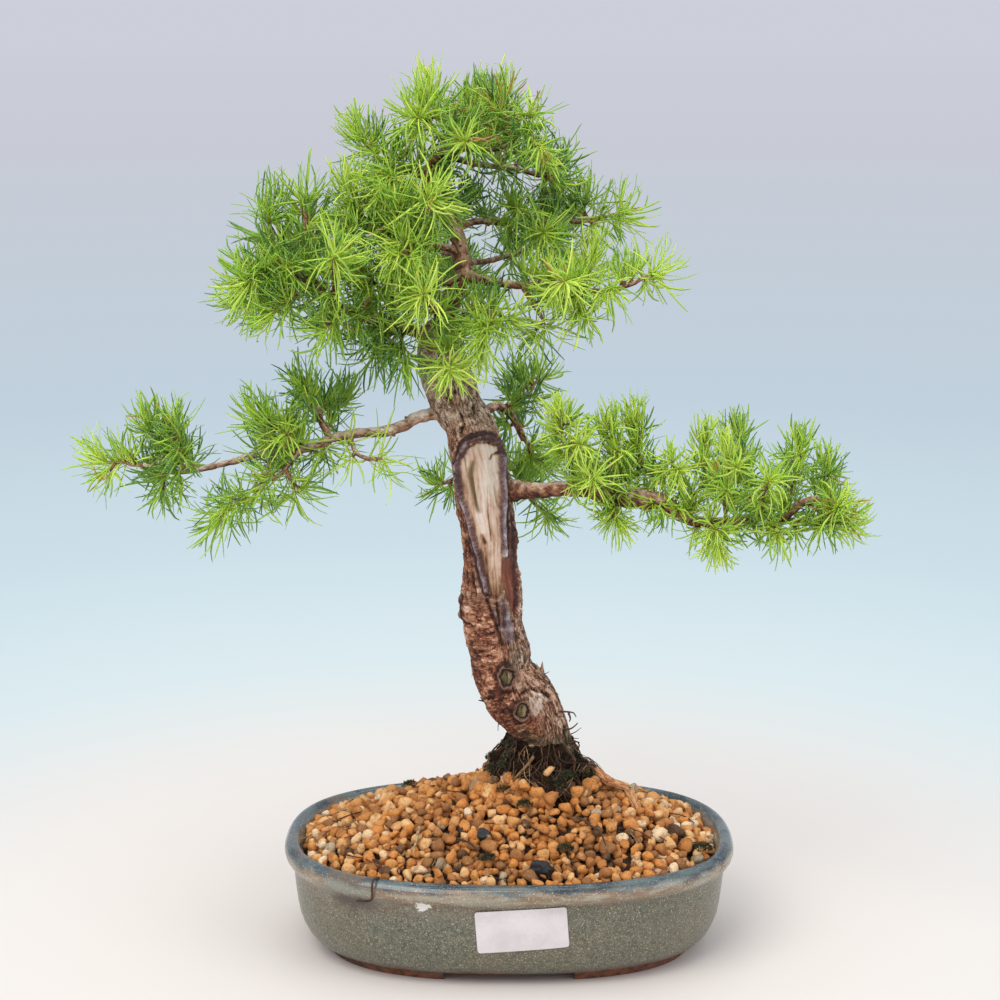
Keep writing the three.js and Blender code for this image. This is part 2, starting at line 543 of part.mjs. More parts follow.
// The route of a list of points, as a smooth curve.
const curveOf = (route) => new THREE.CatmullRomCurve3(route.map(vec), false, "centripetal");

// The deadwood panel's left and right angles at a height, or null where there is bark all round.
function panelAt(z) {
  const above = PANEL.findIndex(([height]) => height >= z);
  if (above < 1) return null;
  const [low, high] = [PANEL[above - 1], PANEL[above]];
  const share = (z - low[0]) / (high[0] - low[0]);
  return [mix(low[1], high[1], share), mix(low[2], high[2], share)];
}

// What the bark, the deadwood and the root flare add to the trunk's radius. The angle runs right from the front.
function trunkRelief(front, z) {
  let relief = 0.5 * Math.sin(5 * front + z * 0.11) + 0.45 * Math.sin(9 * front - z * 0.23);
  relief += 1.1 * Math.exp(-(((z - 137) / 9) ** 2)) * Math.cos(front + 0.6);
  const flare = clamp01((112 - z) / 26);
  relief += 3.6 * flare * Math.cos(4 * front + 0.6);
  const panel = panelAt(z);
  if (panel) {
    const [left, right] = panel;
    const inside = clamp01(Math.min(front - left, right - front) / 0.1);
    const toEdge = Math.min(Math.abs(front - left), Math.abs(right - front));
    relief -= PANEL_DEPTH * inside;
    relief += CALLUS_RISE * Math.exp(-((toEdge / CALLUS_WIDTH) ** 2)) * (1 - inside);
  }
  return relief;
}

// The trunk's rings are level across the front, so that angles are measured from the viewer's side.
function makeTrunk(swell = 0) {
  const curve = curveOf(TRUNK);
  const radii = new THREE.CatmullRomCurve3(TRUNK.map((p, i) => new THREE.Vector3(i, p[3], 0)));
  const rings = Array.from({ length: TRUNK_RINGS + 1 }, (_, i) => {
    const share = i / TRUNK_RINGS;
    const middle = curve.getPoint(share);
    const along = curve.getTangent(share);
    const right = new THREE.Vector3(0, 1, 0).cross(along).normalize();
    const away = along.clone().cross(right).normalize();
    const radius = radii.getPoint(share).y + swell;
    return Array.from({ length: TRUNK_SIDES }, (_, k) => {
      const angle = (k / TRUNK_SIDES) * Math.PI * 2;
      const front = Math.atan2(Math.cos(angle), -Math.sin(angle));
      const reach = radius + trunkRelief(front, middle.z);
      return middle
        .clone()
        .addScaledVector(right, Math.cos(angle) * reach)
        .addScaledVector(away, Math.sin(angle) * reach);
    });
  });
  const low = vec(TRUNK[0]).setZ(TRUNK[0][2] - 2 - swell);
  const last = TRUNK[TRUNK.length - 1];
  return loft(rings, low, vec(last).setZ(last[2] + 2 + swell));
}

// A limb's middle line, and its radius at a share along it.
const limbCurves = Object.fromEntries(Object.entries(LIMBS).map(([name, { route }]) => [name, curveOf(route)]));
const limbRadius = (name, share) => mix(...LIMBS[name].radius, share ** 0.8);

// A thick limb has more sides and closer rings, and its bark is uneven.
const isThick = (name) => LIMBS[name].radius[0] > 3;
const limbRings = (name) => Math.max(2, Math.round(limbCurves[name].getLength() / (isThick(name) ? 13 : 16)));

function makeLimb(name, swell = 0) {
  const unevenness = isThick(name) ? 0.25 : 0;
  const radiusAt = (share, angle) => limbRadius(name, share) + unevenness * Math.sin(share * 37 + angle * 2);
  return tube(limbCurves[name], isThick(name) ? 7 : 5, limbRings(name), radiusAt, swell);
}

// A healed scar: a low round boss with a sunk middle.
function makeScar({ at, face, radius }) {
  const profile = [[0, -4], [radius, -4], [radius * 0.85, 1.4], [radius * 0.5, 0.9], [0, 0.7]];
  const boss = new THREE.LatheGeometry(profile.map(([x, y]) => new THREE.Vector2(x, y)), 9);
  const turn = new THREE.Quaternion().setFromUnitVectors(new THREE.Vector3(0, 1, 0), vec(face).normalize());
  return solidFrom(boss.applyQuaternion(turn).translate(...at));
}

function makeWood() {
  const limbs = Object.keys(LIMBS).map((name) => makeLimb(name));
  return wasm.Manifold.union([makeTrunk(), ...limbs, ...SCARS.map(makeScar)]).simplify(SLIVER);
}

// Everything that a needle or a twig has to stay clear of: straight pieces with a radius.
const obstacles = [];
function addObstacle(from, to, radius, owner) {
  const centre = from.clone().add(to).multiplyScalar(0.5);
  obstacles.push({ from, to, radius, owner, centre, reach: from.distanceTo(to) / 2 + radius });
}

function segmentDistance(a, b, c, d) {
  const [ab, cd, ac] = [b.clone().sub(a), d.clone().sub(c), a.clone().sub(c)];
  const [aa, ee, ff] = [ab.dot(ab), cd.dot(cd), cd.dot(ac)];
  const [cc, bb] = [ab.dot(ac), ab.dot(cd)];
  const spread = aa * ee - bb * bb;
  let s = spread > 1e-9 ? clamp01((bb * ff - cc * ee) / spread) : 0;
  let t = (bb * s + ff) / ee;
  if (t < 0 || t > 1) {
    t = clamp01(t);
    s = clamp01((bb * t - cc) / aa);
  }
  return a.clone().addScaledVector(ab, s).distanceTo(c.clone().addScaledVector(cd, t));
}

// How much room is left between a straight piece and all that is there, apart from what it may touch.
function roomAround(from, to, radius, mayTouch) {
  const centre = from.clone().add(to).multiplyScalar(0.5);
  const reach = from.distanceTo(to) / 2 + radius + 2;
  let room = 2;
  for (const o of obstacles) {
    if (mayTouch(o) || o.centre.distanceTo(centre) > reach + o.reach) continue;
    room = Math.min(room, segmentDistance(from, to, o.from, o.to) - radius - o.radius);
  }
  return room;
}

function layOutWood() {
  const trunk = curveOf(TRUNK);
  for (let i = 0; i < TRUNK_RINGS; i++) {
    const [low, high] = [trunk.getPoint(i / TRUNK_RINGS), trunk.getPoint((i + 1) / TRUNK_RINGS)];
    const index = Math.min(TRUNK.length - 1, Math.ceil((i / TRUNK_RINGS) * (TRUNK.length - 1)));
    addObstacle(low, high, TRUNK[index][3] + 1.2, "wood");
  }
  for (const name of Object.keys(LIMBS)) {
    const pieces = limbRings(name) * 2;
    for (let i = 0; i < pieces; i++) {
      const [start, end] = [i / pieces, (i + 1) / pieces];
      addObstacle(pointOn(name, start), pointOn(name, end), limbRadius(name, start) * POLYGON_SHARE, "wood");
    }
  }
}

// A point of a limb's middle, which runs straight from ring to ring.
function pointOn(name, share) {
  const rings = limbRings(name);
  const ring = Math.min(rings - 1, Math.floor(share * rings));
  const curve = limbCurves[name];
  return curve.getPointAt(ring / rings).lerp(curve.getPointAt((ring + 1) / rings), share * rings - ring);
}

// The place on a limb where a shoot leaves it: a little back from the nearest place, as a twig grows forwards.
function seatOn(name, target) {
  const distance = (share) => pointOn(name, share).distanceTo(target);
  let nearest = 0;
  for (let i = 0; i <= 100; i++) if (distance(i / 100) < distance(nearest)) nearest = i / 100;
  if (nearest > 0.98) return pointOn(name, 1);
  const back = distance(nearest) * 0.25;
  return pointOn(name, clamp01(nearest - back / limbCurves[name].getLength()));
}

// The first point on the way from the seat to the target that is clear of the wood.
function leaveWood(seat, target) {
  const away = target.clone().sub(seat).normalize();
  const spot = seat.clone();
  for (let step = 0; step < 120; step++) {
    const next = spot.clone().addScaledVector(away, 0.15);
    if (roomAround(spot, next, 0, (o) => o.owner !== "wood") >= GAP) return spot;
    spot.copy(next);
  }
  throw new Error("a shoot never leaves the wood");
}

// How far from its start a twig has its full thickness: as soon as it is clear of the wood.
function thickenAt(start, low) {
  const length = start.distanceTo(low);
  const clear = (distance) => {
    const spot = start.clone().lerp(low, distance / length);
    return roomAround(spot, low, TWIG_RADIUS, (o) => o.owner !== "wood") >= GAP * 0.7;
  };
  let distance = Math.min(2.4, length * 0.4);
  while (distance < length * 0.7 && !clear(distance)) distance += 0.4;
  return distance;
}

// A needle: one face of the twig pulled out into a three-sided blade, arched where it has a middle ring.
function pullNeedle(skin, face, plan) {
  if (!plan) {
    skin.face(...face);
    return;
  }
  const { elbow, tip, arched } = plan;
  const end = skin.point(tip);
  if (!arched) {
    face.forEach((a, i) => skin.face(a, face[(i + 1) % 3], end));
    return;
  }
  const root = centreOf(skin, face);
  const along = elbow.clone().sub(root).normalize();
  const first = skin.points[face[0]].clone().sub(root).projectOnPlane(along).normalize();
  const side = along.clone().cross(first).normalize();
  const middle = [0, 1, 2].map((i) => {
    const angle = (i * Math.PI * 2) / 3;
    const out = first.clone().multiplyScalar(Math.cos(angle)).addScaledVector(side, Math.sin(angle));
    return skin.point(elbow.clone().addScaledVector(out, NEEDLE_RADIUS));
  });
  face.forEach((a, i) => {
    const next = (i + 1) % 3;
    skin.face(a, face[next], middle[next]);
    skin.face(a, middle[next], middle[i]);
    skin.face(middle[i], middle[next], end);
  });
}
const centreOf = (skin, face) =>
  face.reduce((sum, i) => sum.add(skin.points[i]), new THREE.Vector3()).divideScalar(3);

// Chooses where a needle goes, so that it crosses nothing: a few tries, each a little shorter.
function planNeedle(skin, face, axis, middle, lean, owner, heart) {
  const root = centreOf(skin, face);
  const out = root.clone().sub(middle).projectOnPlane(axis).normalize();
  for (let attempt = 0; attempt < 26; attempt++) {
    const angle = lean + between(-0.28, 0.28);
    const turn = between(-0.3, 0.3);
    const outward = out.clone().applyAxisAngle(axis, turn);
    const along = axis.clone().multiplyScalar(Math.cos(angle)).addScaledVector(outward, Math.sin(angle));
    const length = NEEDLE_LENGTH * between(0.82, 1.1) * (1 - attempt * 0.022);
    const bow = new THREE.Vector3(between(-1, 1), between(-1, 1), between(-1.4, 0.4)).projectOnPlane(along);
    const elbow = root.clone().addScaledVector(along, length * 0.52).addScaledVector(bow, length * 0.07);
    const tip = root.clone().addScaledVector(along, length).addScaledVector(bow, -length * 0.06);
    const arched = attempt % 3 !== 1 && random() < ARCHED_SHARE;
    if (!arched) elbow.copy(root).lerp(tip, 0.5);
    const near = root.clone().lerp(elbow, 0.22);
    const sameHeart = (o) => o.owner === owner + heart + "twig";
    const sameTwig = (o) => o.owner.startsWith(owner + heart);
    const room = Math.min(
      roomAround(near, elbow, NEEDLE_RADIUS, sameHeart),
      roomAround(elbow, tip, NEEDLE_RADIUS, sameHeart),
      roomAround(root, near, NEEDLE_RADIUS, sameTwig),
    );
    if (room < GAP * 0.8) continue;
    addObstacle(near, elbow, NEEDLE_RADIUS, owner + heart + "needle");
    addObstacle(elbow, tip, NEEDLE_RADIUS, owner + heart + "needle");
    return { elbow, tip, arched };
  }
  return null;
}

// A shoot: a thin twig from its start through its hearts. At each heart a whorl of needles stands all round it.
function makeShoot(start, hearts, owner) {
  const skin = new Skin();
  const stops = [start, ...hearts];
  const whorls = [];
  const stopAt = (i) => stops[Math.min(stops.length - 1, Math.max(0, i))];
  const axisAt = (i) => stopAt(i + 1).clone().sub(stopAt(i - 1)).normalize();
  const ringAt = (middle, axis, radius) => {
    const seed = Math.abs(axis.z) < 0.9 ? new THREE.Vector3(0, 0, 1) : new THREE.Vector3(1, 0, 0);
    const u = seed.cross(axis).normalize();
    const v = axis.clone().cross(u).normalize();
    return skin.ring(
      Array.from({ length: TWIG_SIDES }, (_, k) => {
        const angle = (k / TWIG_SIDES) * Math.PI * 2;
        return middle
          .clone()
          .addScaledVector(u, Math.cos(angle) * radius)
          .addScaledVector(v, Math.sin(angle) * radius);
      }),
    );
  };
  const foot = skin.point(start);
  let last = null;
  hearts.forEach((heart, i) => {
    const axis = axisAt(i + 1);
    const low = heart.clone().addScaledVector(axis, -WHORL_HEIGHT);
    if (!last) {
      const away = low.clone().sub(start).normalize();
      const first = ringAt(start.clone().addScaledVector(away, thickenAt(start, low)), away, TWIG_RADIUS);
      skin.closeBelow(first, foot);
      last = first;
    }
    const under = ringAt(low, axis, TWIG_RADIUS);
    const over = ringAt(heart, axis, TWIG_RADIUS);
    skin.addBand(last, under);
    whorls.push({ faces: skin.band(under, over), axis, middle: heart, heart: i, leans: [1.75, 1.15] });
    last = over;
  });
  const axis = axisAt(hearts.length);
  const end = hearts[hearts.length - 1];
  const cap = skin.point(end.clone().addScaledVector(axis, TWIG_RADIUS * 1.1));
  const closing = last.map((a, i) => [a, last[(i + 1) % last.length], cap]);
  whorls.push({ faces: closing, axis, middle: end, heart: hearts.length - 1, leans: [0.5, 0.5] });
  stops.slice(1).forEach((stop, i) => addObstacle(stops[i], stop, TWIG_RADIUS, owner + i + "twig"));
  return { skin, whorls, owner };
}

function growNeedles({ skin, whorls, owner }) {
  for (const { faces, axis, middle, heart, leans } of whorls)
    faces.forEach((face, i) => {
      const plan = planNeedle(skin, face, axis, middle, leans[i % 2], owner, heart);
      pullNeedle(skin, face, plan);
    });
  return skin.solid();
}

// All sprays: the twigs of all of them come first, so that every needle keeps clear of every twig.
function makeSprays() {
  const planned = Object.entries(SPRAYS).map(([name, { limb, shoots }]) => {
    const first = shoots[0].map(vec);
    const start = leaveWood(seatOn(limb, first[0]), first[0]);
    const fork = start.clone().lerp(first[0], Math.min(0.5, 4.5 / start.distanceTo(first[0])));
    return {
      name,
      shoots: shoots.map((hearts, i) => makeShoot(i ? fork : start, hearts.map(vec), name + i + ".")),
    };
  });
  return planned.map(({ name, shoots }) => ({ name, solid: wasm.Manifold.union(shoots.map(growNeedles)) }));
}

const plant = new THREE.Group();
const finish = (color, roughness) => new THREE.MeshStandardMaterial({ color, roughness, metalness: 0 });
const GLAZE = finish(0x5d6a5f, 0.35);
const PAPER = finish(0xf2f2ee, 0.8);
const BAKED_CLAY = finish(0xb87a3c, 0.95);
const PEAT = finish(0x2e2a1c, 1);
const BARK = finish(0x7d5540, 0.9);
const NET = finish(0x22242a, 0.6);
const NEEDLES = finish(0x86a832, 0.55);

function addPiece(name, solid, material) {
  const mesh = new THREE.Mesh(geometryFrom(solid), material);
  mesh.name = name;
  plant.add(mesh);
}

const surfaceRoot = makeLimb("surfaceRoot", GAP);
const swollenTrunk = makeTrunk(GAP + 0.15);
addPiece("pot", makePot(), GLAZE);
addPiece("pot_label", makeLabel(), PAPER);
addPiece("soil", makeSoil([makeMound(2 * GAP), swollenTrunk, surfaceRoot]), BAKED_CLAY);
addPiece("root_mound", largest(makeMound().subtract(swollenTrunk).subtract(surfaceRoot)), PEAT);
addPiece("drain_net_left", makeNet(-DRAIN_SPREAD / 2), NET);
addPiece("drain_net_right", makeNet(DRAIN_SPREAD / 2), NET);
addPiece("tree_wood", makeWood(), BARK);
layOutWood();
for (const { name, solid } of makeSprays()) addPiece(name, solid, NEEDLES);

// The origin is the middle of the whole footprint, on the table.
const box = new THREE.Box3().setFromObject(plant);
plant.position.set(-(box.min.x + box.max.x) / 2, -(box.min.y + box.max.y) / 2, -box.min.z);

export default plant;
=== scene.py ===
# European larch bonsai in a glazed oval pot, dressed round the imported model.
# Tables and shapes are in millimetres from the middle of the pot on the table: +X right, +Y away, +Z up.
import math

import bpy
import numpy as np
from mathutils import Euler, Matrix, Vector


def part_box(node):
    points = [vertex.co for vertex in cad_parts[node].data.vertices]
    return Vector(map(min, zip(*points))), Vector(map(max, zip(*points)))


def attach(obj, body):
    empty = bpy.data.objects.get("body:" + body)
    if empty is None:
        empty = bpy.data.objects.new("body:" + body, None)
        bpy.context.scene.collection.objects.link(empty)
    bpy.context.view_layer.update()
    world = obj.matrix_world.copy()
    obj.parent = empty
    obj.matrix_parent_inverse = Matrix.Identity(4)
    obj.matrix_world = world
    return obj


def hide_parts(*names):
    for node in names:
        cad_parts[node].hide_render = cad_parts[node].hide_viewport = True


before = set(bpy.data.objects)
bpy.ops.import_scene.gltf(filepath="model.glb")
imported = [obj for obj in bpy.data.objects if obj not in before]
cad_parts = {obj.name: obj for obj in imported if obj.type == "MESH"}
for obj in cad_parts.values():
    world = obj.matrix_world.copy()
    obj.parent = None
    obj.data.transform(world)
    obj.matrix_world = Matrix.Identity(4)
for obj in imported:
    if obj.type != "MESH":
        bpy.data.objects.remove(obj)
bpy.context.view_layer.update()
potLow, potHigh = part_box("pot")
potMiddle = np.array([(potLow.x + potHigh.x) / 2, (potLow.y + potHigh.y) / 2, 0.0])
chance = np.random.default_rng(41)
print("frame loaded, pot middle at", potMiddle)


# Shared helpers: places, noise, smooth routes and meshes

def place(points):
    return np.asarray(points, float) * 0.001 + potMiddle  # to metres in the frame


def smoothStep(value, low, high):
    share = np.clip((value - low) / (high - low), 0, 1)
    return share * share * (3 - 2 * share)


# A smooth hump of height 1 round a middle
def hump(value, middle, reach):
    return np.exp(-((value - middle) / reach) ** 2)


def unit(vectors):
    vectors = np.asarray(vectors, float)
    return vectors / np.maximum(np.linalg.norm(vectors, axis=-1, keepdims=True), 1e-9)


def latticeValue(cell, seed):
    mixed = cell[..., 0] * 73856093 ^ cell[..., 1] * 19349663 ^ cell[..., 2] * 83492791 ^ seed * 2654435761
    mixed = (mixed ^ (mixed >> 13)) * 1274126177
    return ((mixed ^ (mixed >> 16)) & 0xFFFFFF) / 0xFFFFFF


# Soft noise from -1 to 1 at points, whose lumps are about size millimetres wide
def softNoise(points, size, seed=1, octaves=3):
    total = np.zeros(points.shape[:-1])
    for octave in range(octaves):
        at = points / size * 2 ** octave + 37.7
        cell = np.floor(at).astype(np.int64)
        share = at - cell
        share = share * share * (3 - 2 * share)
        value = 0
        for corner in range(8):
            step = np.array([corner & 1, corner >> 1 & 1, corner >> 2 & 1])
            weight = np.prod(np.where(step, share, 1 - share), axis=-1)
            value = value + weight * latticeValue(cell + step, seed + octave)
        total += (2 * value - 1) * 0.5 ** octave
    return total


# Plates of about size millimetres: how far each point is from its plate's edge, and a value for the plate
def plates(points, size, seed=1):
    at = points / size + 91.3
    cell = np.floor(at).astype(np.int64)
    nearest = np.full(points.shape[:-1], 9.0)
    second = nearest.copy()
    plateValue = np.zeros(points.shape[:-1])
    for offset in np.ndindex(3, 3, 3):
        other = cell + np.array(offset) - 1
        seedPoint = other + np.stack([latticeValue(other, seed + k) for k in (11, 12, 13)], axis=-1)
        distance = np.linalg.norm(seedPoint - at, axis=-1)
        closer = distance < nearest
        second = np.where(closer, nearest, np.minimum(second, distance))
        plateValue = np.where(closer, latticeValue(other, seed + 14), plateValue)
        nearest = np.minimum(nearest, distance)
    return second - nearest, plateValue


# Points evenly spaced on a smooth curve through the given ones. Further columns, such as a radius, go along
def smoothRoute(points, step=None, count=None):
    points = np.asarray(points, float)
    ends = np.vstack([2 * points[0] - points[1], points, 2 * points[-1] - points[-2]])
    fine = []
    for a, b, c, d in zip(ends, ends[1:], ends[2:], ends[3:]):
        for t in np.linspace(0, 1, 16, endpoint=False):
            fine.append(0.5 * (2 * b + (c - a) * t + (2 * a - 5 * b + 4 * c - d) * t ** 2
                               + (3 * b - a - 3 * c + d) * t ** 3))
    fine = np.array(fine + [points[-1]])
    lengths = np.r_[0, np.cumsum(np.linalg.norm(np.diff(fine[:, :3], axis=0), axis=1))]
    count = count or max(2, round(lengths[-1] / step)) + 1
    at = np.linspace(0, lengths[-1], count)
    return np.stack([np.interp(at, lengths, column) for column in fine.T], axis=1)


# Directions that go along a route, with two across it that never twist
def routeFrames(route):
    along = unit(np.gradient(route[:, :3], axis=0))
    across = unit(np.cross(along[0], [0.3, 0.2, 1.0]))
    firsts = []
    for way in along:
        across = unit(across - way * np.dot(across, way))
        firsts.append(across)
    firsts = np.array(firsts)
    return along, firsts, np.cross(along, firsts)


# Points and faces of closed tubes. relief adds to the radius and is an array of rings by sides
def tubeShape(route, radii, sides, relief=0.0, blunt=0.6):
    along, first, other = routeFrames(route)
    angle = np.arange(sides) / sides * 2 * math.pi
    reach = np.asarray(radii, float)[:, None] + relief + np.zeros((len(route), sides))
    ring = first[:, None] * np.cos(angle)[None, :, None] + other[:, None] * np.sin(angle)[None, :, None]
    shell = route[:, None, :3] + ring * reach[..., None]
    low = route[0, :3] - along[0] * radii[0] * 0.2
    high = route[-1, :3] + along[-1] * radii[-1] * blunt
    points = np.vstack([shell.reshape(-1, 3), low, high])
    lengths = np.r_[0, np.cumsum(np.linalg.norm(np.diff(route[:, :3], axis=0), axis=1))]
    flow = np.stack([np.cos(angle)[None] * reach, np.sin(angle)[None] * reach,
                     np.broadcast_to(lengths[:, None], reach.shape)], axis=-1)
    flow = np.vstack([flow.reshape(-1, 3), [0, 0, 0], [0, 0, lengths[-1]]])
    return points, ringFaces(len(route), sides), flow


# Faces of a stack of rings that closes to the last two points
def ringFaces(rings, sides):
    faces = []
    for ring in range(rings - 1):
        for k in range(sides):
            a, b = ring * sides + k, ring * sides + (k + 1) % sides
            faces.append((a, b, b + sides, a + sides))
    low, high = rings * sides, rings * sides + 1
    last = (rings - 1) * sides
    faces += [(low, (k + 1) % sides, k) for k in range(sides)]
    faces += [(high, last + k, last + (k + 1) % sides) for k in range(sides)]
    return faces


# Gathers many small shapes into one mesh
class Gather:
    def __init__(self):
        self.points, self.faces, self.values, self.count = [], [], {}, 0

    def add(self, points, faces, **values):
        self.points.append(points)
        self.faces += [tuple(i + self.count for i in face) for face in faces]
        for name, value in values.items():
            value = np.asarray(value, float)
            if value.ndim == 0:
                value = np.full(len(points), float(value))
            self.values.setdefault(name, []).append(value)
        self.count += len(points)

    # A round thread along a route, from one radius to another
    def thread(self, route, thick, thin, sides, withFlow=False, **values):
        points, faces, flow = tubeShape(route, np.linspace(thick, thin, len(route)), sides)
        if withFlow:
            values["flow"] = flow
        self.add(points, faces, **values)

    def piece(self, name, smooth=True):
        values = {key: np.concatenate(rows) for key, rows in self.values.items()}
        return newPiece(name, np.vstack(self.points), self.faces, smooth, values)


def newPiece(name, points, faces, smooth=True, values=None):
    mesh = bpy.data.meshes.new(name)
    mesh.from_pydata(place(points).tolist(), [], faces)
    storeValues(mesh, values or {})
    if smooth:
        mesh.shade_smooth()
    piece = bpy.data.objects.new(name, mesh)
    bpy.context.scene.collection.objects.link(piece)
    return piece


# Puts one number, or one vector, for each point under a name that the materials read
def storeValues(mesh, values):
    for name, value in values.items():
        value = np.asarray(value, np.float32)
        isVector = value.ndim == 2
        layer = mesh.attributes.new(name, "FLOAT_VECTOR" if isVector else "FLOAT", "POINT")
        layer.data.foreach_set("vector" if isVector else "value", value.ravel())


def meshPoints(piece):
    flat = np.zeros(len(piece.data.vertices) * 3)
    piece.data.vertices.foreach_get("co", flat)
    return flat.reshape(-1, 3)


def movePoints(piece, points):
    piece.data.vertices.foreach_set("co", np.asarray(points, float).ravel())
    piece.data.update()


def pickOnly(piece):
    bpy.ops.object.select_all(action="DESELECT")
    piece.select_set(True)
    bpy.context.view_layer.objects.active = piece


def applyModifiers(piece):
    pickOnly(piece)
    for modifier in list(piece.modifiers):
        bpy.ops.object.modifier_apply(modifier=modifier.name)


# Opens the active piece for editing, with all of it selected
def editAll():
    bpy.ops.object.mode_set(mode="EDIT")
    bpy.ops.mesh.select_all(action="SELECT")


# Turns every face outwards and closes the edit
def turnOut():
    bpy.ops.mesh.select_all(action="SELECT")
    bpy.ops.mesh.normals_make_consistent(inside=False)
    bpy.ops.object.mode_set(mode="OBJECT")


# The last steps for every piece: its finish, its body and the nodes that it stands for
def finishPiece(piece, paint, slot, *nodes):
    piece.data.materials.clear()
    piece.data.materials.append(paint)
    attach(piece, "root")
    if nodes:
        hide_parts(*nodes)
    print(piece.name, "has", sum(len(p.vertices) - 2 for p in piece.data.polygons), "triangles")


# Material helpers

def rgb(red, green, blue):
    shares = [v / 255 for v in (red, green, blue)]
    return tuple(v / 12.92 if v < 0.04 else ((v + 0.055) / 1.055) ** 2.4 for v in shares) + (1.0,)


# Adds nodes to a material's or a group's tree by short calls. Each call gives back the output to use
class Mixer:
    def __init__(self, tree):
        self.tree = tree

    def node(self, kind, **settings):
        made = self.tree.nodes.new("ShaderNode" + kind)
        for key, value in settings.items():
            setattr(made, key, value)
        return made

    def feed(self, socket, value):
        if isinstance(value, bpy.types.NodeSocket):
            self.tree.links.new(value, socket)
        elif value is not None:
            socket.default_value = value

    def noise(self, vector, scale, detail=3.0, rough=0.55, bend=0.0):
        made = self.node("TexNoise")
        for key, value in {"Vector": vector, "Scale": scale, "Detail": detail, "Roughness": rough,
                           "Distortion": bend}.items():
            self.feed(made.inputs[key], value)
        return made.outputs["Fac"]

    def cells(self, vector, scale, feature="F1", output="Distance"):
        made = self.node("TexVoronoi", feature=feature)
        self.feed(made.inputs["Vector"], vector)
        self.feed(made.inputs["Scale"], scale)
        return made.outputs[output]

    def stretch(self, vector, scale):
        made = self.node("Mapping")
        self.feed(made.inputs["Vector"], vector)
        made.inputs["Scale"].default_value = scale
        return made.outputs["Vector"]

    def sum(self, a, b, how="ADD"):
        made = self.node("Math", operation=how)
        self.feed(made.inputs[0], a)
        self.feed(made.inputs[1], b)
        return made.outputs["Value"]

    def times(self, a, b):
        return self.sum(a, b, "MULTIPLY")

    def shift(self, a, b, share):
        made = self.node("VectorMath", operation="MULTIPLY_ADD")
        self.feed(made.inputs[0], b)
        made.inputs[1].default_value = (share, share, share)
        self.feed(made.inputs[2], a)
        return made.outputs["Vector"]

    def band(self, value, low, high, toLow=0.0, toHigh=1.0):
        made = self.node("MapRange", interpolation_type="SMOOTHSTEP")
        for socket, number in zip(made.inputs, (value, low, high, toLow, toHigh)):
            self.feed(socket, number)
        return made.outputs["Result"]

    def mix(self, share, a, b):
        made = self.node("Mix", data_type="RGBA")
        self.feed(made.inputs["Factor"], share)
        self.feed(made.inputs[6], a)
        self.feed(made.inputs[7], b)
        return made.outputs[2]

    # Lays a colour over another where a mask goes from low to high
    def wash(self, under, mask, low, high, share, *over):
        return self.mix(self.times(self.band(mask, low, high), share), under, rgb(*over))

    # A value from 0 to 1, moved to lie round 0 and weakened
    def sway(self, value, share):
        return self.times(self.sum(value, 0.5, "SUBTRACT"), share)

    def fade(self, share, a, b):
        made = self.node("Mix", data_type="FLOAT")
        for socket, value in zip((made.inputs[0], made.inputs[2], made.inputs[3]), (share, a, b)):
            self.feed(socket, value)
        return made.outputs[0]

    def ramp(self, value, *stops):
        made = self.node("ValToRGB")
        ramp = made.color_ramp
        while len(ramp.elements) < len(stops):
            ramp.elements.new(0.5)
        for element, (at, *colour) in zip(ramp.elements, stops):
            element.position = at
            element.color = rgb(*colour)
        self.feed(made.inputs["Fac"], value)
        return made.outputs["Color"]

    def stored(self, name, output="Fac"):
        return self.node("Attribute", attribute_name=name).outputs[output]

    def bump(self, height, depth, strength):
        made = self.node("Bump")
        for key, value in {"Height": height, "Distance": depth, "Strength": strength}.items():
            self.feed(made.inputs[key], value)
        return made.outputs["Normal"]

    def group(self, made, **inputs):
        placed = self.node("Group")
        placed.node_tree = made
        for key, value in inputs.items():
            self.feed(placed.inputs[key], value)
        return placed.outputs


# A material whose Principled shader gets what paintIt returns: a value or an output for each socket
def newPaint(name, paintIt, glow=0.0, shine=0.5):
    material = bpy.data.materials.new(name)
    material.use_nodes = True
    tree = material.node_tree
    shader = tree.nodes["Principled BSDF"]
    shader.inputs["Emission Strength"].default_value = glow
    shader.inputs["Specular IOR Level"].default_value = shine
    mixer = Mixer(tree)
    spot = mixer.node("TexCoord").outputs["Object"]
    for key, value in paintIt(mixer, spot).items():
        mixer.feed(shader.inputs[key], value)
    return material


def newGroup(name, inputs, outputs, fill):
    tree = bpy.data.node_groups.new(name, "ShaderNodeTree")
    for key, (kind, value) in inputs.items():
        socket = tree.interface.new_socket(key, in_out="INPUT", socket_type="NodeSocket" + kind)
        if value is not None:
            socket.default_value = value
    for key, kind in outputs.items():
        tree.interface.new_socket(key, in_out="OUTPUT", socket_type="NodeSocket" + kind)
    start = tree.nodes.new("NodeGroupInput")
    end = tree.nodes.new("NodeGroupOutput")
    mixer = Mixer(tree)
    for key, value in fill(mixer, start.outputs).items():
        mixer.feed(end.inputs[key], value)
    return tree


# Uneven colour: broad clouds between two colours, with finer flecks of a third
def fillMottle(m, given):
    broad = m.noise(given["Vector"], given["Scale"], 4, 0.6, 0.4)
    fine = m.noise(given["Vector"], m.times(given["Scale"], 5.3), 3, 0.65)
    clouds = m.mix(m.band(broad, 0.36, 0.64), given["Dark"], given["Light"])
    flecks = m.band(fine, m.sum(0.68, m.times(given["Flecks"], 0.2), "SUBTRACT"), 0.72)
    return {"Color": m.mix(m.times(flecks, given["Flecks"]), clouds, given["Fleck"])}


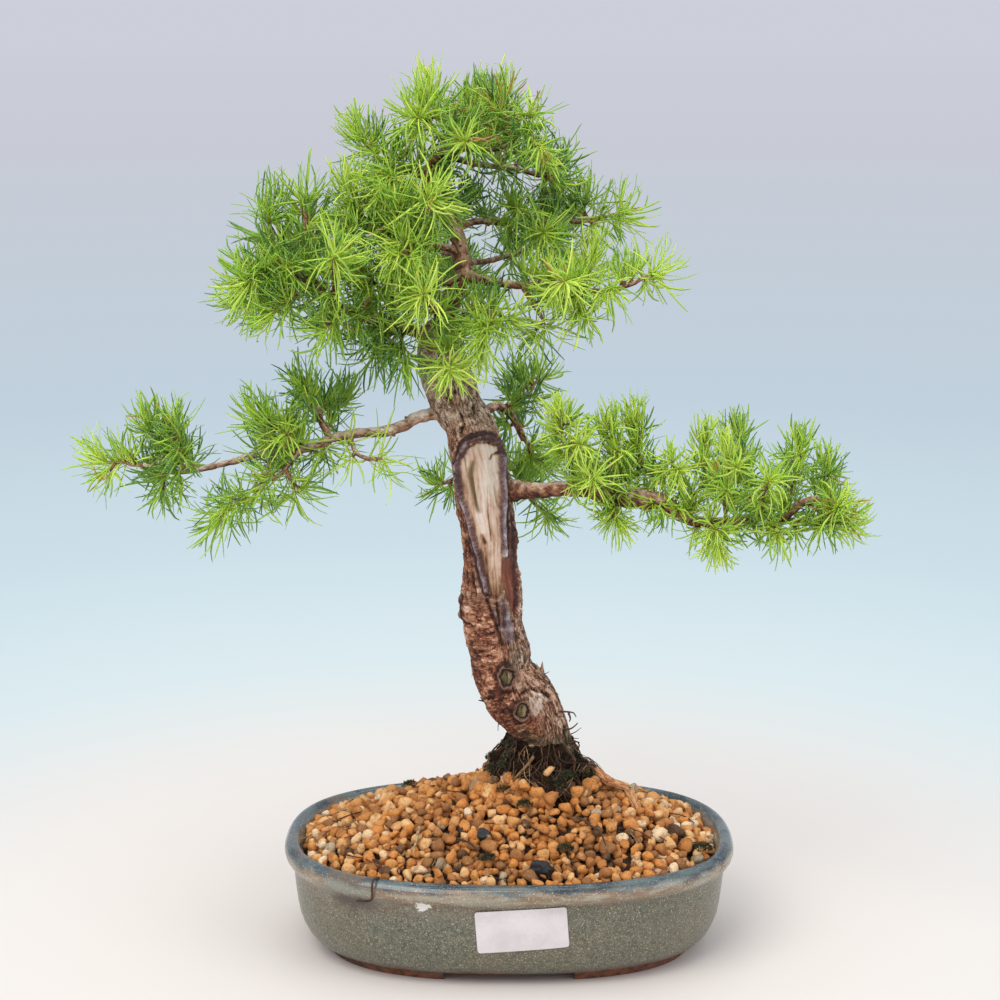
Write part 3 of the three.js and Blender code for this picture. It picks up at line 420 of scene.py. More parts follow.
mottle = newGroup(
    "mottle",
    {"Vector": ("Vector", None), "Scale": ("Float", 100.0), "Dark": ("Color", None), "Light": ("Color", None),
     "Fleck": ("Color", None), "Flecks": ("Float", 0.5)},
    {"Color": "Color"}, fillMottle)


# Gritty surface: a height that mixes pits, grains and soft unevenness
def fillGrit(m, given):
    grains = m.cells(given["Vector"], given["Scale"])
    soft = m.noise(given["Vector"], m.times(given["Scale"], 0.3), 3)
    pits = m.band(m.noise(given["Vector"], m.times(given["Scale"], 1.7), 2), 0.3, 0.5)
    return {"Height": m.sum(m.sum(m.times(grains, -0.5), m.times(soft, given["Soft"])), m.times(pits, 0.35))}


grit = newGroup(
    "grit", {"Vector": ("Vector", None), "Scale": ("Float", 900.0), "Soft": ("Float", 0.5)},
    {"Height": "Float"}, fillGrit)


# The pot: one profile ring after another is extruded, then pulled to the oval

pot = {
    "length": 266, "width": 190, "oval": 2.5, "around": 160,
    "outside": [[22.4, 5.6], [20.2, 6.1], [17.8, 7.4], [15.2, 9.8], [12.8, 13], [10.4, 18], [8.6, 23],
                [7.2, 30], [6.2, 38], [5.6, 45], [5.3, 49.5], [4.6, 51.6], [2.9, 53.6], [1.6, 55.4]],
    "lip": [[0.6, 57.2], [0, 59.5], [0.2, 61.6], [1.2, 63.4], [2.6, 65], [4.6, 66], [6.8, 65.8], [8.6, 64.2]],
    "inside": [[10, 61.5], [11.5, 58], [14.5, 45], [18.5, 32], [22, 20], [24.5, 15], [28, 13]],
    "foot": [[37, 7.4], [37, 1.2], [35.8, 0], [25, 0], [24, 1.2], [23, 7.4]],
    "gap": 37.6, "drain": 9, "drainAt": 55,
}


def ovalPoints(turns, inset):
    a, b = pot["length"] / 2 - inset, pot["width"] / 2 - inset
    x, y = np.cos(turns) * a, np.sin(turns) * b
    reach = (np.abs(x / a) ** pot["oval"] + np.abs(y / b) ** pot["oval"]) ** (-1 / pot["oval"])
    return x * reach, y * reach


# How far out a place lies in the oval: 0 in the middle, 1 on the line
def ovalShare(x, y, inset):
    a, b = pot["length"] / 2 - inset, pot["width"] / 2 - inset
    return (np.abs(x / a) ** pot["oval"] + np.abs(y / b) ** pot["oval"]) ** (1 / pot["oval"])


def frontWall(x, z):
    heights = [row[1] for row in pot["outside"]]
    inset = np.interp(z, heights, [row[0] for row in pot["outside"]])
    a, b = pot["length"] / 2 - inset, pot["width"] / 2 - inset
    return -b * (1 - np.abs(x / a) ** pot["oval"]) ** (1 / pot["oval"])


# A stack of rings, extruded from a circle. The profile's rows are inset and height
def ovalStack(name, profile, closed):
    bpy.ops.object.select_all(action="DESELECT")
    bpy.ops.mesh.primitive_circle_add(vertices=pot["around"], radius=1, fill_type="NOTHING")
    piece = bpy.context.object
    piece.name = name
    editAll()
    for _ in profile[1:]:
        bpy.ops.mesh.extrude_region_move(TRANSFORM_OT_translate={"value": (0, 0, 1)})
    bpy.ops.object.mode_set(mode="OBJECT")
    at = meshPoints(piece)
    row = np.rint(at[:, 2]).astype(int)
    turns = np.arctan2(at[:, 1], at[:, 0])
    rows = np.array(profile, float)
    x, y = ovalPoints(turns, rows[row, 0])
    movePoints(piece, place(np.stack([x, y, rows[row, 1]], axis=1)))
    bpy.ops.object.mode_set(mode="EDIT")
    bpy.ops.mesh.select_mode(type="EDGE")
    bpy.ops.mesh.select_all(action="DESELECT")
    bpy.ops.mesh.select_non_manifold()
    if closed:
        bpy.ops.mesh.bridge_edge_loops()
    else:
        bpy.ops.mesh.fill_holes(sides=0)
    turnOut()
    return piece


def makePot():
    profile = pot["outside"] + pot["lip"] + pot["inside"]
    bowl = ovalStack("glazedPot", profile, closed=False)
    cutters = []
    for side in (-1, 1):
        bpy.ops.mesh.primitive_cylinder_add(vertices=40, radius=pot["drain"] * 0.001, depth=0.06,
                                            location=place([side * pot["drainAt"], 0, 10]))
        cutters.append(bpy.context.object)
    for cutter in cutters:
        cut = bowl.modifiers.new("drain", "BOOLEAN")
        cut.operation = "DIFFERENCE"
        cut.object = cutter
    applyModifiers(bowl)
    for cutter in cutters:
        bpy.data.objects.remove(cutter)
    feet = []
    for side in (-1, 1):
        foot = ovalStack("foot", pot["foot"], closed=True)
        pickOnly(foot)
        editAll()
        bpy.ops.mesh.bisect(plane_co=place([side * pot["gap"], 0, 0]), plane_no=(side, 0.0, 0.0),
                            use_fill=True, clear_inner=True)
        bpy.ops.object.mode_set(mode="OBJECT")
        feet.append(foot)
    bpy.ops.object.select_all(action="DESELECT")
    for piece in feet + [bowl]:
        piece.select_set(True)
    bpy.context.view_layer.objects.active = bowl
    bpy.ops.object.join()
    # A hand-thrown wall is never quite even
    at = (meshPoints(bowl) - potMiddle) * 1000
    swell = softNoise(at * [1, 1, 2], 60, 5, 2) * 0.5 + softNoise(at, 16, 6, 2) * 0.12
    wall = smoothStep(at[:, 2], 9, 20) * (ovalShare(at[:, 0], at[:, 1], 12) > 0.9)
    outward = unit(at * [1, 1.6, 0])
    at += outward * (swell * wall * 0.6)[:, None]
    at[:, 2] += smoothStep(at[:, 2], 52, 64) * softNoise(at, 45, 8, 2) * 0.35
    movePoints(bowl, place(at))
    pickOnly(bowl)
    bpy.ops.object.shade_smooth_by_angle(angle=0.7)
    out = ovalShare(at[:, 0], at[:, 1], 9.2)
    ragged = softNoise(at, 13, 4, 3)
    low = at[:, 2] + ragged * 2.4
    isFront = at[:, 1] < 0
    marks = softNoise(at, 2.6, 7, 3)
    scorch = np.hypot((at[:, 0] + 89) / 13, (at[:, 2] - 50) / 4)
    storeValues(bowl.data, {
        "rim": smoothStep(at[:, 2] + softNoise(at, 9, 3, 2) * 1.6, 61, 63.6) * (out > 0.955),
        "lip": smoothStep(at[:, 2] + softNoise(at, 12, 2, 2), 53.6, 57) * (out > 0.97),
        "inner": smoothStep(at[:, 2], 20, 61) * (1 - smoothStep(out, 0.955, 0.995)),
        "bare": 1 - smoothStep(low, 5.4, 8.4), "drip": (1 - smoothStep(low, 8.5, 12.5)) * 0.6,
        "brown": smoothStep(at[:, 2], 40, 51) * (1 - smoothStep(at[:, 0], -60, 90)),
        "scorch": isFront * 0.8 * (1 - smoothStep(scorch + marks * 0.4, 0.6, 1.3))})
    return bowl


def paintGlaze(m, spot):
    specks = m.noise(spot, 1150, 2, 0.45)
    finer = m.noise(spot, 2100, 2, 0.5)
    clouds = m.noise(spot, 20, 3, 0.55, 0.3)
    wear = m.noise(m.stretch(spot, (0.5, 0.5, 2.2)), 90, 5, 0.7)
    grain = m.noise(spot, 420, 4, 0.7)
    wall = m.mix(m.band(grain, 0.36, 0.64), rgb(76, 79, 67), rgb(113, 112, 96))
    wall = m.wash(wall, clouds, 0.4, 0.62, 0.35, 112, 100, 74)
    wall = m.wash(wall, finer, 0.43, 0.36, 0.6, 52, 52, 42)
    band = m.mix(m.band(wear, 0.4, 0.6), rgb(112, 88, 66), rgb(136, 128, 112))
    wall = m.mix(m.times(m.stored("brown"), 0.55), wall, band)
    wall = m.wash(wall, specks, 0.645, 0.68, 0.8, 200, 188, 150)
    wall = m.wash(wall, finer, 0.64, 0.68, 0.8, 222, 214, 188)
    lip = m.mix(m.band(wear, 0.42, 0.58), rgb(138, 114, 90), rgb(162, 152, 132))
    lip = m.wash(lip, clouds, 0.52, 0.66, 0.7, 126, 132, 124)
    lip = m.wash(lip, specks, 0.62, 0.66, 0.6, 206, 204, 192)
    colour = m.mix(m.stored("lip"), wall, lip)
    blue = m.mix(m.band(wear, 0.36, 0.62), rgb(40, 54, 60), rgb(92, 104, 102))
    blue = m.wash(blue, clouds, 0.56, 0.66, 0.75, 116, 98, 80)
    blue = m.wash(blue, specks, 0.64, 0.68, 0.6, 168, 182, 186)
    colour = m.mix(m.stored("rim"), colour, blue)
    # Inside the rim: the glaze's own dark teal, painted darker still as shade below the lip
    inner = m.mix(m.band(wear, 0.4, 0.6), rgb(16, 38, 42), rgb(38, 76, 78))
    colour = m.mix(m.stored("inner"), colour, inner)
    bare = m.group(mottle, Vector=spot, Scale=180.0, Dark=rgb(78, 46, 32), Light=rgb(134, 82, 58),
                   Fleck=rgb(58, 38, 28), Flecks=0.6)["Color"]
    colour = m.mix(m.stored("drip"), colour, rgb(64, 54, 38))
    colour = m.mix(m.stored("bare"), colour, bare)
    colour = m.mix(m.stored("scorch"), colour, rgb(62, 50, 50))
    away = m.node("VectorMath", operation="DISTANCE")
    m.feed(away.inputs[0], spot)
    away.inputs[1].default_value = tuple(place([-48.8, float(frontWall(np.array(-48.8), 53.2)), 53.2]))
    chip = m.sum(m.times(away.outputs["Value"], 1000), m.times(m.noise(spot, 330, 4, 0.7), 13))
    chip = m.band(chip, 9.9, 10.4, 1.0, 0.0)
    colour = m.mix(chip, colour, rgb(232, 228, 222))
    gloss = m.band(m.stored("bare"), 0.2, 0.8, 0.27, 0.85)
    gloss = m.sum(gloss, m.times(m.stored("rim"), -0.13))
    gloss = m.sum(gloss, m.times(m.stored("lip"), -0.07))
    gloss = m.sum(gloss, m.times(chip, 0.4))
    gloss = m.sum(gloss, m.times(m.band(specks, 0.5, 0.65), 0.1))
    height = m.group(grit, Vector=spot, Scale=620.0, Soft=0.6)["Height"]
    height = m.sum(m.times(height, m.band(m.stored("rim"), 0.0, 1.0, 1.0, 0.2)), m.times(clouds, 2.0))
    return {"Base Color": colour, "Roughness": gloss, "Normal": m.bump(height, 0.0002, 0.5)}


glazedPot = makePot()
finishPiece(glazedPot, newPaint("speckledGlaze", paintGlaze, shine=0.6), "glaze", "pot")
print("pot made")


# The paper sticker, left blank: a plane with round corners, sliced so that it can follow the wall

label = {"width": 52, "height": 26, "thick": 0.3, "x": 7, "z": 39.1, "tilt": 0.075, "corner": 1.8,
         "slices": 26}


def makeLabel():
    bpy.ops.object.select_all(action="DESELECT")
    bpy.ops.mesh.primitive_plane_add(size=1)
    paper = bpy.context.object
    paper.name = "paperLabel"
    movePoints(paper, meshPoints(paper) * [label["width"], label["height"], 1])
    editAll()
    bpy.ops.mesh.bevel(offset=label["corner"], segments=6, affect="VERTICES")
    for way, size, slices in (((1, 0, 0), label["width"], label["slices"]), ((0, 1, 0), label["height"], 8)):
        for k in range(1, slices):
            bpy.ops.mesh.select_all(action="SELECT")
            at = (k / slices - 0.5) * size
            bpy.ops.mesh.bisect(plane_co=(way[0] * at, way[1] * at, 0), plane_no=way)
    bpy.ops.object.mode_set(mode="OBJECT")
    at = meshPoints(paper)
    x = label["x"] + at[:, 0] * math.cos(label["tilt"]) - at[:, 1] * math.sin(label["tilt"])
    z = label["z"] + at[:, 0] * math.sin(label["tilt"]) + at[:, 1] * math.cos(label["tilt"])
    lift = 0.75 + 0.1 * softNoise(np.stack([x, z, z], axis=1), 14, 9, 2)
    movePoints(paper, place(np.stack([x, frontWall(x, z) - lift, z], axis=1)))
    thicken = paper.modifiers.new("paper", "SOLIDIFY")
    thicken.thickness = label["thick"] * 0.001
    thicken.offset = 0
    applyModifiers(paper)
    editAll()
    turnOut()
    bpy.ops.object.shade_smooth_by_angle(angle=0.6)
    return paper


def paintPaper(m, spot):
    fibre = m.noise(m.stretch(spot, (1, 1, 0.4)), 1500, 3, 0.6)
    stain = m.noise(spot, 70, 3, 0.6)
    colour = m.mix(m.band(stain, 0.35, 0.75), rgb(226, 219, 220), rgb(212, 205, 204))
    colour = m.wash(colour, fibre, 0.4, 0.7, 0.3, 198, 190, 188)
    return {"Base Color": colour, "Roughness": m.band(stain, 0.3, 0.7, 0.5, 0.62),
            "Normal": m.bump(fibre, 0.00005, 0.4)}


paperLabel = makeLabel()
finishPiece(paperLabel, newPaint("labelPaper", paintPaper), "label_paper", "pot_label")


# The plastic nets over the drain holes

net = {"size": 26, "z": 13.95, "cells": 10, "strand": 0.9}


def makeNet(side):
    bpy.ops.object.select_all(action="DESELECT")
    bpy.ops.mesh.primitive_grid_add(x_subdivisions=net["cells"], y_subdivisions=net["cells"],
                                    size=net["size"] * 0.001,
                                    location=place([side * pot["drainAt"], 0, net["z"]]))
    piece = bpy.context.object
    piece.name = "drainNetLeft" if side < 0 else "drainNetRight"
    bpy.ops.object.transform_apply()
    strands = piece.modifiers.new("strands", "WIREFRAME")
    strands.thickness = net["strand"] * 0.001
    applyModifiers(piece)
    return piece


def paintNet(m, spot):
    wear = m.noise(spot, 700, 3)
    return {"Base Color": m.mix(m.band(wear, 0.4, 0.7), rgb(26, 27, 31), rgb(48, 49, 53)),
            "Roughness": m.band(wear, 0.3, 0.7, 0.45, 0.7), "Normal": m.bump(wear, 0.0001, 0.4)}


netPaint = newPaint("drainNet", paintNet)
for side, node in ((-1, "drain_net_left"), (1, "drain_net_right")):
    finishPiece(makeNet(side), netPaint, "net", node)
print("label and nets made")


# The soil: a dark bed with loose grains of baked clay on it, heaped up towards the trunk

soil = {"edge": 60, "top": 98, "peak": (18, 12), "fall": 1.32, "inset": 11.5, "tries": 26000,
        "upper": 1150, "lower": 900, "shapes": 14}
# Inset and height of the bed's rings inside the pot. Its heaped top lies a little below the grains
bedPlan = {"around": 120, "walls": [(29, 14.2), (24.6, 16.4), (22.6, 21), (15, 46), (12.2, 58)],
           "topRings": 34, "below": 3, "overNets": 15.6, "netRoom": 14}


def soilHeight(x, y):
    out = np.clip(ovalShare(x, y, soil["inset"]), 0, 1)
    x, y = x - soil["peak"][0] * (1 - out), y - soil["peak"][1] * (1 - out)
    share = np.clip(ovalShare(x, y, soil["inset"]), 0, 1)
    return soil["top"] + (soil["edge"] - soil["top"]) * share ** soil["fall"]


def makeBed():
    around = bedPlan["around"]
    turns = np.arange(around) / around * 2 * math.pi
    rings = []
    for inset, z in bedPlan["walls"]:
        x, y = ovalPoints(turns, inset)
        rings.append(np.stack([x, y, np.full(around, float(z))], axis=1))
    rim = rings[-1]
    for share in np.linspace(0.97, 0.04, bedPlan["topRings"]):
        x, y = rim[:, 0] * share, rim[:, 1] * share
        z = soilHeight(x, y) - bedPlan["below"]
        rings.append(np.stack([x, y, z], axis=1))
    at = np.vstack(rings)
    top = np.arange(len(at)) >= around * len(bedPlan["walls"])
    at[top, 2] += softNoise(at[top], 7, 21, 3) * 1.5
    room = bedPlan["netRoom"]
    for side in (-1, 1):
        near = (np.abs(at[:, 0] - side * pot["drainAt"]) < room) & (np.abs(at[:, 1]) < room) & ~top
        at[near, 2] = np.maximum(at[near, 2], bedPlan["overNets"])
    peak = soilHeight(np.array(0.0), np.array(0.0)) - bedPlan["below"]
    points = np.vstack([at, [0, 0, bedPlan["overNets"] + 0.2], [0, 0, peak]])
    return newPiece("soilBed", points, ringFaces(len(rings), around))


def paintBed(m, spot):
    crumbs = m.cells(spot, 420)
    colour = m.group(mottle, Vector=spot, Scale=160.0, Dark=rgb(46, 28, 14), Light=rgb(96, 62, 34),
                     Fleck=rgb(150, 108, 66), Flecks=0.5)["Color"]
    # Painted shade: the hollows between crumbs, which the bump sinks, are painted dark
    return {"Base Color": m.mix(m.band(crumbs, 0.2, 0.6), colour, rgb(32, 20, 12)), "Roughness": m.band(
        crumbs, 0.1, 0.7, 0.85, 0.98), "Normal": m.bump(m.times(crumbs, -1.0), 0.0015, 0.8)}


soilBed = makeBed()
finishPiece(soilBed, newPaint("soilBed", paintBed), "baked_clay", "soil")


# Nuggets: icospheres with flats pressed into them
def makeNuggets(count, levels=2):
    bpy.ops.object.select_all(action="DESELECT")
    bpy.ops.mesh.primitive_ico_sphere_add(subdivisions=levels, radius=1)
    ball = bpy.context.object
    start = meshPoints(ball)
    faces = [tuple(face.vertices) for face in ball.data.polygons]
    bpy.data.objects.remove(ball)
    nuggets = []
    for _ in range(count):
        at = start * (1 + 0.22 * softNoise(start + chance.uniform(0, 90, 3), 1.1, 23, 2))[:, None]
        for way in unit(chance.normal(size=(8, 3))):
            depth = at @ way - chance.uniform(0.48, 0.86)
            at -= np.where(depth > 0, depth, 0)[:, None] * way * 0.92
        nuggets.append(at * (1 + 0.035 * chance.normal(size=(len(at), 1))) * 1.12)
    return nuggets, faces


def turned(points, angles):
    return points @ np.array(Euler(angles).to_matrix()).T


def scatterGrains():
    a, b = pot["length"] / 2 - 10.6, pot["width"] / 2 - 10.6
    spots, kept = chance.uniform(-1, 1, (soil["tries"], 2)) * [a, b], []
    for layer, wanted, closest in (("lower", soil["lower"], 0.66), ("upper", soil["upper"], 0.84)):
        taken = np.zeros((0, 3))
        for x, y in spots:
            radius = float(np.clip(chance.normal(3.35, 0.62), 1.9, 4.9))
            if layer == "lower":
                radius *= 0.9
            if ovalShare(x, y, 11.2 + radius * 0.8) > 1:
                continue
            if np.hypot(x - mound["middle"][0], y - mound["middle"][1]) < 25:
                continue
            away = np.hypot(taken[:, 0] - x, taken[:, 1] - y)
            if (away < (taken[:, 2] + radius) * closest).any():
                continue
            taken = np.vstack([taken, [x, y, radius]])
            kept.append((x, y, radius, layer))
            if len(taken) >= wanted:
                break
        print(layer, "grains", len(taken))
    return kept


mound = {"middle": (17.5, 12), "around": 150, "rings": 40,
         "levels": [[88, 35], [93, 33.5], [97, 32], [103, 29.5], [109, 25.5], [115, 20.5], [121, 16.5]]}
nuggets, nuggetFaces = makeNuggets(soil["shapes"])
# Kinds of grains by their place on the colour ramp, and their shares. Pale ones have gathered near the rim
grainTints = {"orange": (0.38, 0.6), "tan": (0.6, 0.76), "brown": (0.2, 0.38), "dark": (0.02, 0.12),
              "cream": (0.8, 0.9), "grey": (0.95, 1.0)}
grainShares = {"middle": [0.42, 0.2, 0.3, 0.04, 0.015, 0.025], "rim": [0.3, 0.36, 0.13, 0.02, 0.15, 0.04]}
halves = [Gather(), Gather()]


def layGrain(index, spot, radius):
    near = "rim" if abs(spot[0]) > chance.uniform(40, 120) else "middle"
    kind = chance.choice(list(grainTints), p=grainShares[near])
    shape = nuggets[index % len(nuggets)] * radius * chance.uniform(0.72, 1.26, 3)
    at = turned(shape, chance.uniform(0, 6.3, 3)) + spot
    halves[index % 2].add(at, nuggetFaces, tint=chance.uniform(*grainTints[kind]), lot=chance.uniform(0, 1))


# The mound's surface, by the turn round it and the share of its height
def moundPoint(turn, share):
    heights, radii = np.array(mound["levels"], float).T
    z = np.interp(share, np.linspace(0, 1, len(heights)), heights)
    reach = np.interp(z, heights, radii)
    step = np.mod(turn / (2 * math.pi), 1) * 14
    i, low = share * 4, np.floor(step)
    lump, rise = 0, 0
    for k, weight in ((low, 1 - (step - low)), (np.mod(low + 1, 14), step - low)):
        lump = lump + weight * (1 + 0.1 * np.sin(k * 2.3 + i * 1.7) + 0.08 * np.sin(k * 5.1 - i * 2.9))
        rise = rise + weight * 2.2 * np.sin(k * 1.9 + i) * np.minimum(share * 4, 1)
    reach = reach * lump
    return np.stack([mound["middle"][0] + np.cos(turn) * reach, mound["middle"][1] + np.sin(turn) * reach,
                     z + rise], -1)


for index, (x, y, radius, layer) in enumerate(scatterGrains()):
    z = float(soilHeight(np.array(x), np.array(y)))
    onMound = 1 - smoothStep(np.hypot(x - mound["middle"][0], y - mound["middle"][1]), 28, 40)
    z += 4.2 * onMound + (0.6 + radius * 0.25 if layer == "upper" else -2.0) + chance.normal() * 0.5
    layGrain(index, [x, y, z], radius)
# Grains piled against the front of the mound: turn from and to, and the share of its height they reach
for start, stop, top, count in ((-2.95, -2.35, 0.42, 30), (-2.35, -1.75, 0.5, 42), (-1.75, -1.3, 0.28, 16),
                                (-0.9, -0.3, 0.3, 18), (-1.34, -1.33, 0.62, 1)):
    for index in range(count):
        turn, share = chance.uniform(start, stop), top * (1 if count == 1 else chance.uniform(0.1, 1))
        spot = moundPoint(np.array(turn), np.array(share))
        out = unit(spot - [*mound["middle"], spot[2] - 12])
        radius = float(np.clip(chance.normal(3.3, 0.6), 2.2, 4.4))
        layGrain(index, spot + out * radius * 0.45, radius)


def paintGrains(m, spot):
    lot = m.stored("lot")
    moved = m.shift(spot, m.stored("lot", "Vector"), 3.0)
    broad = m.noise(moved, 170, 4, 0.6, 0.5)
    fine = m.noise(moved, 1100, 3, 0.7)
    colour = m.ramp(m.stored("tint"), (0.0, 52, 38, 28), (0.16, 122, 84, 48), (0.36, 186, 120, 58),
                    (0.5, 216, 140, 64), (0.62, 214, 150, 82), (0.76, 236, 190, 130),
                    (0.9, 240, 218, 184), (1.0, 128, 118, 92))
    colour = m.wash(colour, broad, 0.48, 0.34, 0.6, 140, 84, 36)
    colour = m.wash(colour, broad, 0.56, 0.7, 0.4, 240, 176, 100)
    colour = m.wash(colour, fine, 0.5, 0.38, 0.35, 112, 68, 32)
    colour = m.wash(colour, fine, 0.6, 0.7, 0.2, 250, 214, 160)
    height = m.sum(m.times(broad, 2.2), m.group(grit, Vector=moved, Scale=800.0, Soft=0.8)["Height"])
    return {"Base Color": colour, "Roughness": m.band(lot, 0, 1, 0.68, 0.9),
            "Normal": m.bump(height, 0.0008, 0.55)}


grainPaint = newPaint("bakedClay", paintGrains)
for name, half in zip(("clayGrains", "clayGrainsMore"), halves):
    finishPiece(half.piece(name), grainPaint, "baked_clay")
print("soil made")


# The mound of peat and fine roots round the foot of the trunk, with its moss

def makeMound():
    turns = np.arange(mound["around"]) / mound["around"] * 2 * math.pi
    shares = np.linspace(0, 1, mound["rings"])
    at = moundPoint(turns[None] + 0 * shares[:, None], shares[:, None] + 0 * turns[None])
    outward = unit((at - [*mound["middle"], 92]) * [1, 1, 0.6])
    at = at + outward * (softNoise(at, 9, 31, 4) * 2.2 + softNoise(at, 2.4, 32, 2) * 0.8)[..., None]
    points = np.vstack([at.reshape(-1, 3), [*mound["middle"], 87], [*mound["middle"], 116]])
    moss = smoothStep(softNoise(points, 16, 33, 2) + 0.25 * (points[:, 0] - 18) / 30, 0.05, 0.5)
    return newPiece("rootMound", points, ringFaces(mound["rings"], mound["around"]), values={"moss": moss})


def paintPeat(m, spot):
    fibres = m.noise(m.stretch(spot, (1, 1, 2.2)), 620, 4, 0.7, 1.2)
    lumps = m.cells(spot, 330)
    colour = m.group(mottle, Vector=spot, Scale=210.0, Dark=rgb(14, 9, 4), Light=rgb(46, 29, 12),
                     Fleck=rgb(98, 72, 44), Flecks=0.42)["Color"]
    green = m.mix(m.band(fibres, 0.4, 0.62), rgb(18, 26, 10), rgb(56, 70, 24))
    colour = m.mix(m.times(m.stored("moss"), m.band(lumps, 0.1, 0.45, 0.9, 0.35)), colour, green)
    return {"Base Color": colour, "Roughness": m.band(fibres, 0.3, 0.7, 0.8, 1.0),
            "Normal": m.bump(m.sum(fibres, m.times(lumps, -0.8)), 0.0014, 0.9)}


rootMound = makeMound()
finishPiece(rootMound, newPaint("peat", paintPeat, shine=0.15), "peat", "root_mound")

# The pale ones are thick: turn and share of the mound's height where they start and end, and radius
rootlet = {"count": 230, "sides": 5, "radius": (0.15, 0.42),
           "pale": [(-1.72, 0.82, -2.12, 0.38, 0.95), (-2.3, 0.55, -2.52, 0.28, 0.75),
                    (-1.2, 0.42, -0.78, 0.46, 0.5)]}


def makeRootlets():
    threads = Gather()
    for _ in range(rootlet["count"]):
        turn = chance.uniform(0, 2 * math.pi)
        drift = chance.normal() * 0.5
        top, low = chance.uniform(0.35, 1.0), chance.uniform(-0.15, 0.5)
        steps = []
        for share in np.linspace(0, 1, 6):
            rise = top + (low - top) * share
            around = turn + drift * share + chance.normal() * 0.06
            spot = moundPoint(np.array(around), np.array(max(rise, 0.0)))
            outward = unit(spot - [*mound["middle"], spot[2]])
            spot = spot + outward * chance.uniform(0.2, 2.0) + [0, 0, chance.normal() * 1.0]
            steps.append(spot)
        route = smoothRoute(steps, step=2.4)
        thick = chance.uniform(*rootlet["radius"])
        threads.thread(route, thick, thick * 0.45, rootlet["sides"], tint=chance.uniform(0, 1) ** 1.8)
    for turn, share, lastTurn, lastShare, thick in rootlet["pale"]:
        turns, shares = np.linspace(turn, lastTurn, 5), np.linspace(share, lastShare, 5)
        steps = moundPoint(turns, shares)
        route = smoothRoute(steps + unit(steps - [*mound["middle"], 100]) * 1.6, step=1.5)
        threads.thread(route, thick, thick * 0.6, 7, tint=0.84)
    return threads.piece("fineRoots")


def paintRootlets(m, spot):
    patches = m.noise(spot, 420, 3, 0.6)
    colour = m.ramp(m.stored("tint"), (0.0, 40, 26, 18), (0.5, 84, 54, 36), (0.85, 140, 104, 66),
                    (1.0, 186, 156, 108))
    return {"Base Color": m.wash(colour, patches, 0.45, 0.6, 0.6, 62, 42, 28),
            "Roughness": m.band(patches, 0.3, 0.7, 0.7, 0.9), "Normal": m.bump(patches, 0.0003, 0.5)}


finishPiece(makeRootlets(), newPaint("fineRoots", paintRootlets), "peat")

# Moss: cushions of short leafy hairs on the mound, at the foot of the trunk and on the grains
moss = {"hairs": 9,  # for each square millimetre of reach
        # Middle and reach
        "cushions": [((41, 0, 102), 6.5), ((45, 6, 99), 5), ((34, -11, 104), 6), ((-8, 2, 104), 4.5),
                     ((-3, -4, 108), 4), ((1, 4, 118), 4), ((0, -2, 113), 4), ((29, -16, 100), 4.5),
                     ((-3, -13, 96), 5), ((9, -27, 91.5), 4.5), ((32, -59, 76.5), 4.6),
                     ((-12, -66, 73.5), 4.4),
                     ((113, -31, 66.5), 5.5), ((18, 38, 101), 7), ((38, 30, 101), 6), ((-8, 28, 102), 6),
                     ((-60, 40, 80), 4.5)]}


def makeMoss():
    hairs = Gather()
    faces = [(0, 2, 1), (0, 1, 3), (1, 2, 3), (2, 0, 3)]
    for middle, reach in moss["cushions"]:
        for _ in range(int(reach * reach * moss["hairs"])):
            turn, out = chance.uniform(0, 6.3), reach * math.sqrt(chance.uniform(0, 1))
            base = np.array(middle) + [math.cos(turn) * out, math.sin(turn) * out, 0]
            base[2] += 2.4 * (1 - (out / reach) ** 2) + chance.normal() * 0.5 - 0.6
            tip = base + unit([math.cos(turn) * out / reach, math.sin(turn) * out / reach, 1.1]
                              + chance.normal(size=3) * 0.45) * chance.uniform(1.0, 2.2)
            side = unit(np.cross(tip - base, [0.3, 0.4, 1])) * chance.uniform(0.3, 0.5)
            other = unit(np.cross(tip - base, side)) * 0.3
            corners = [base + side, base - side * 0.5 + other, base - side * 0.5 - other, tip]
            hairs.add(np.array(corners), faces, tint=chance.uniform(0, 1))
    return hairs.piece("mossCushions", smooth=False)


def paintMoss(m, spot):
    patches = m.noise(spot, 300, 3)
    colour = m.ramp(m.stored("tint"), (0.0, 20, 24, 12), (0.5, 46, 52, 26), (1.0, 94, 98, 50))
    return {"Base Color": m.wash(colour, patches, 0.4, 0.65, 0.7, 34, 30, 14),
            "Roughness": m.band(patches, 0.3, 0.7, 0.75, 0.95)}


finishPiece(makeMoss(), newPaint("moss", paintMoss), "peat")
print("root mound made")


# The trunk: one fine skin whose relief and colour masks follow the deadwood, its healed edges and the scars

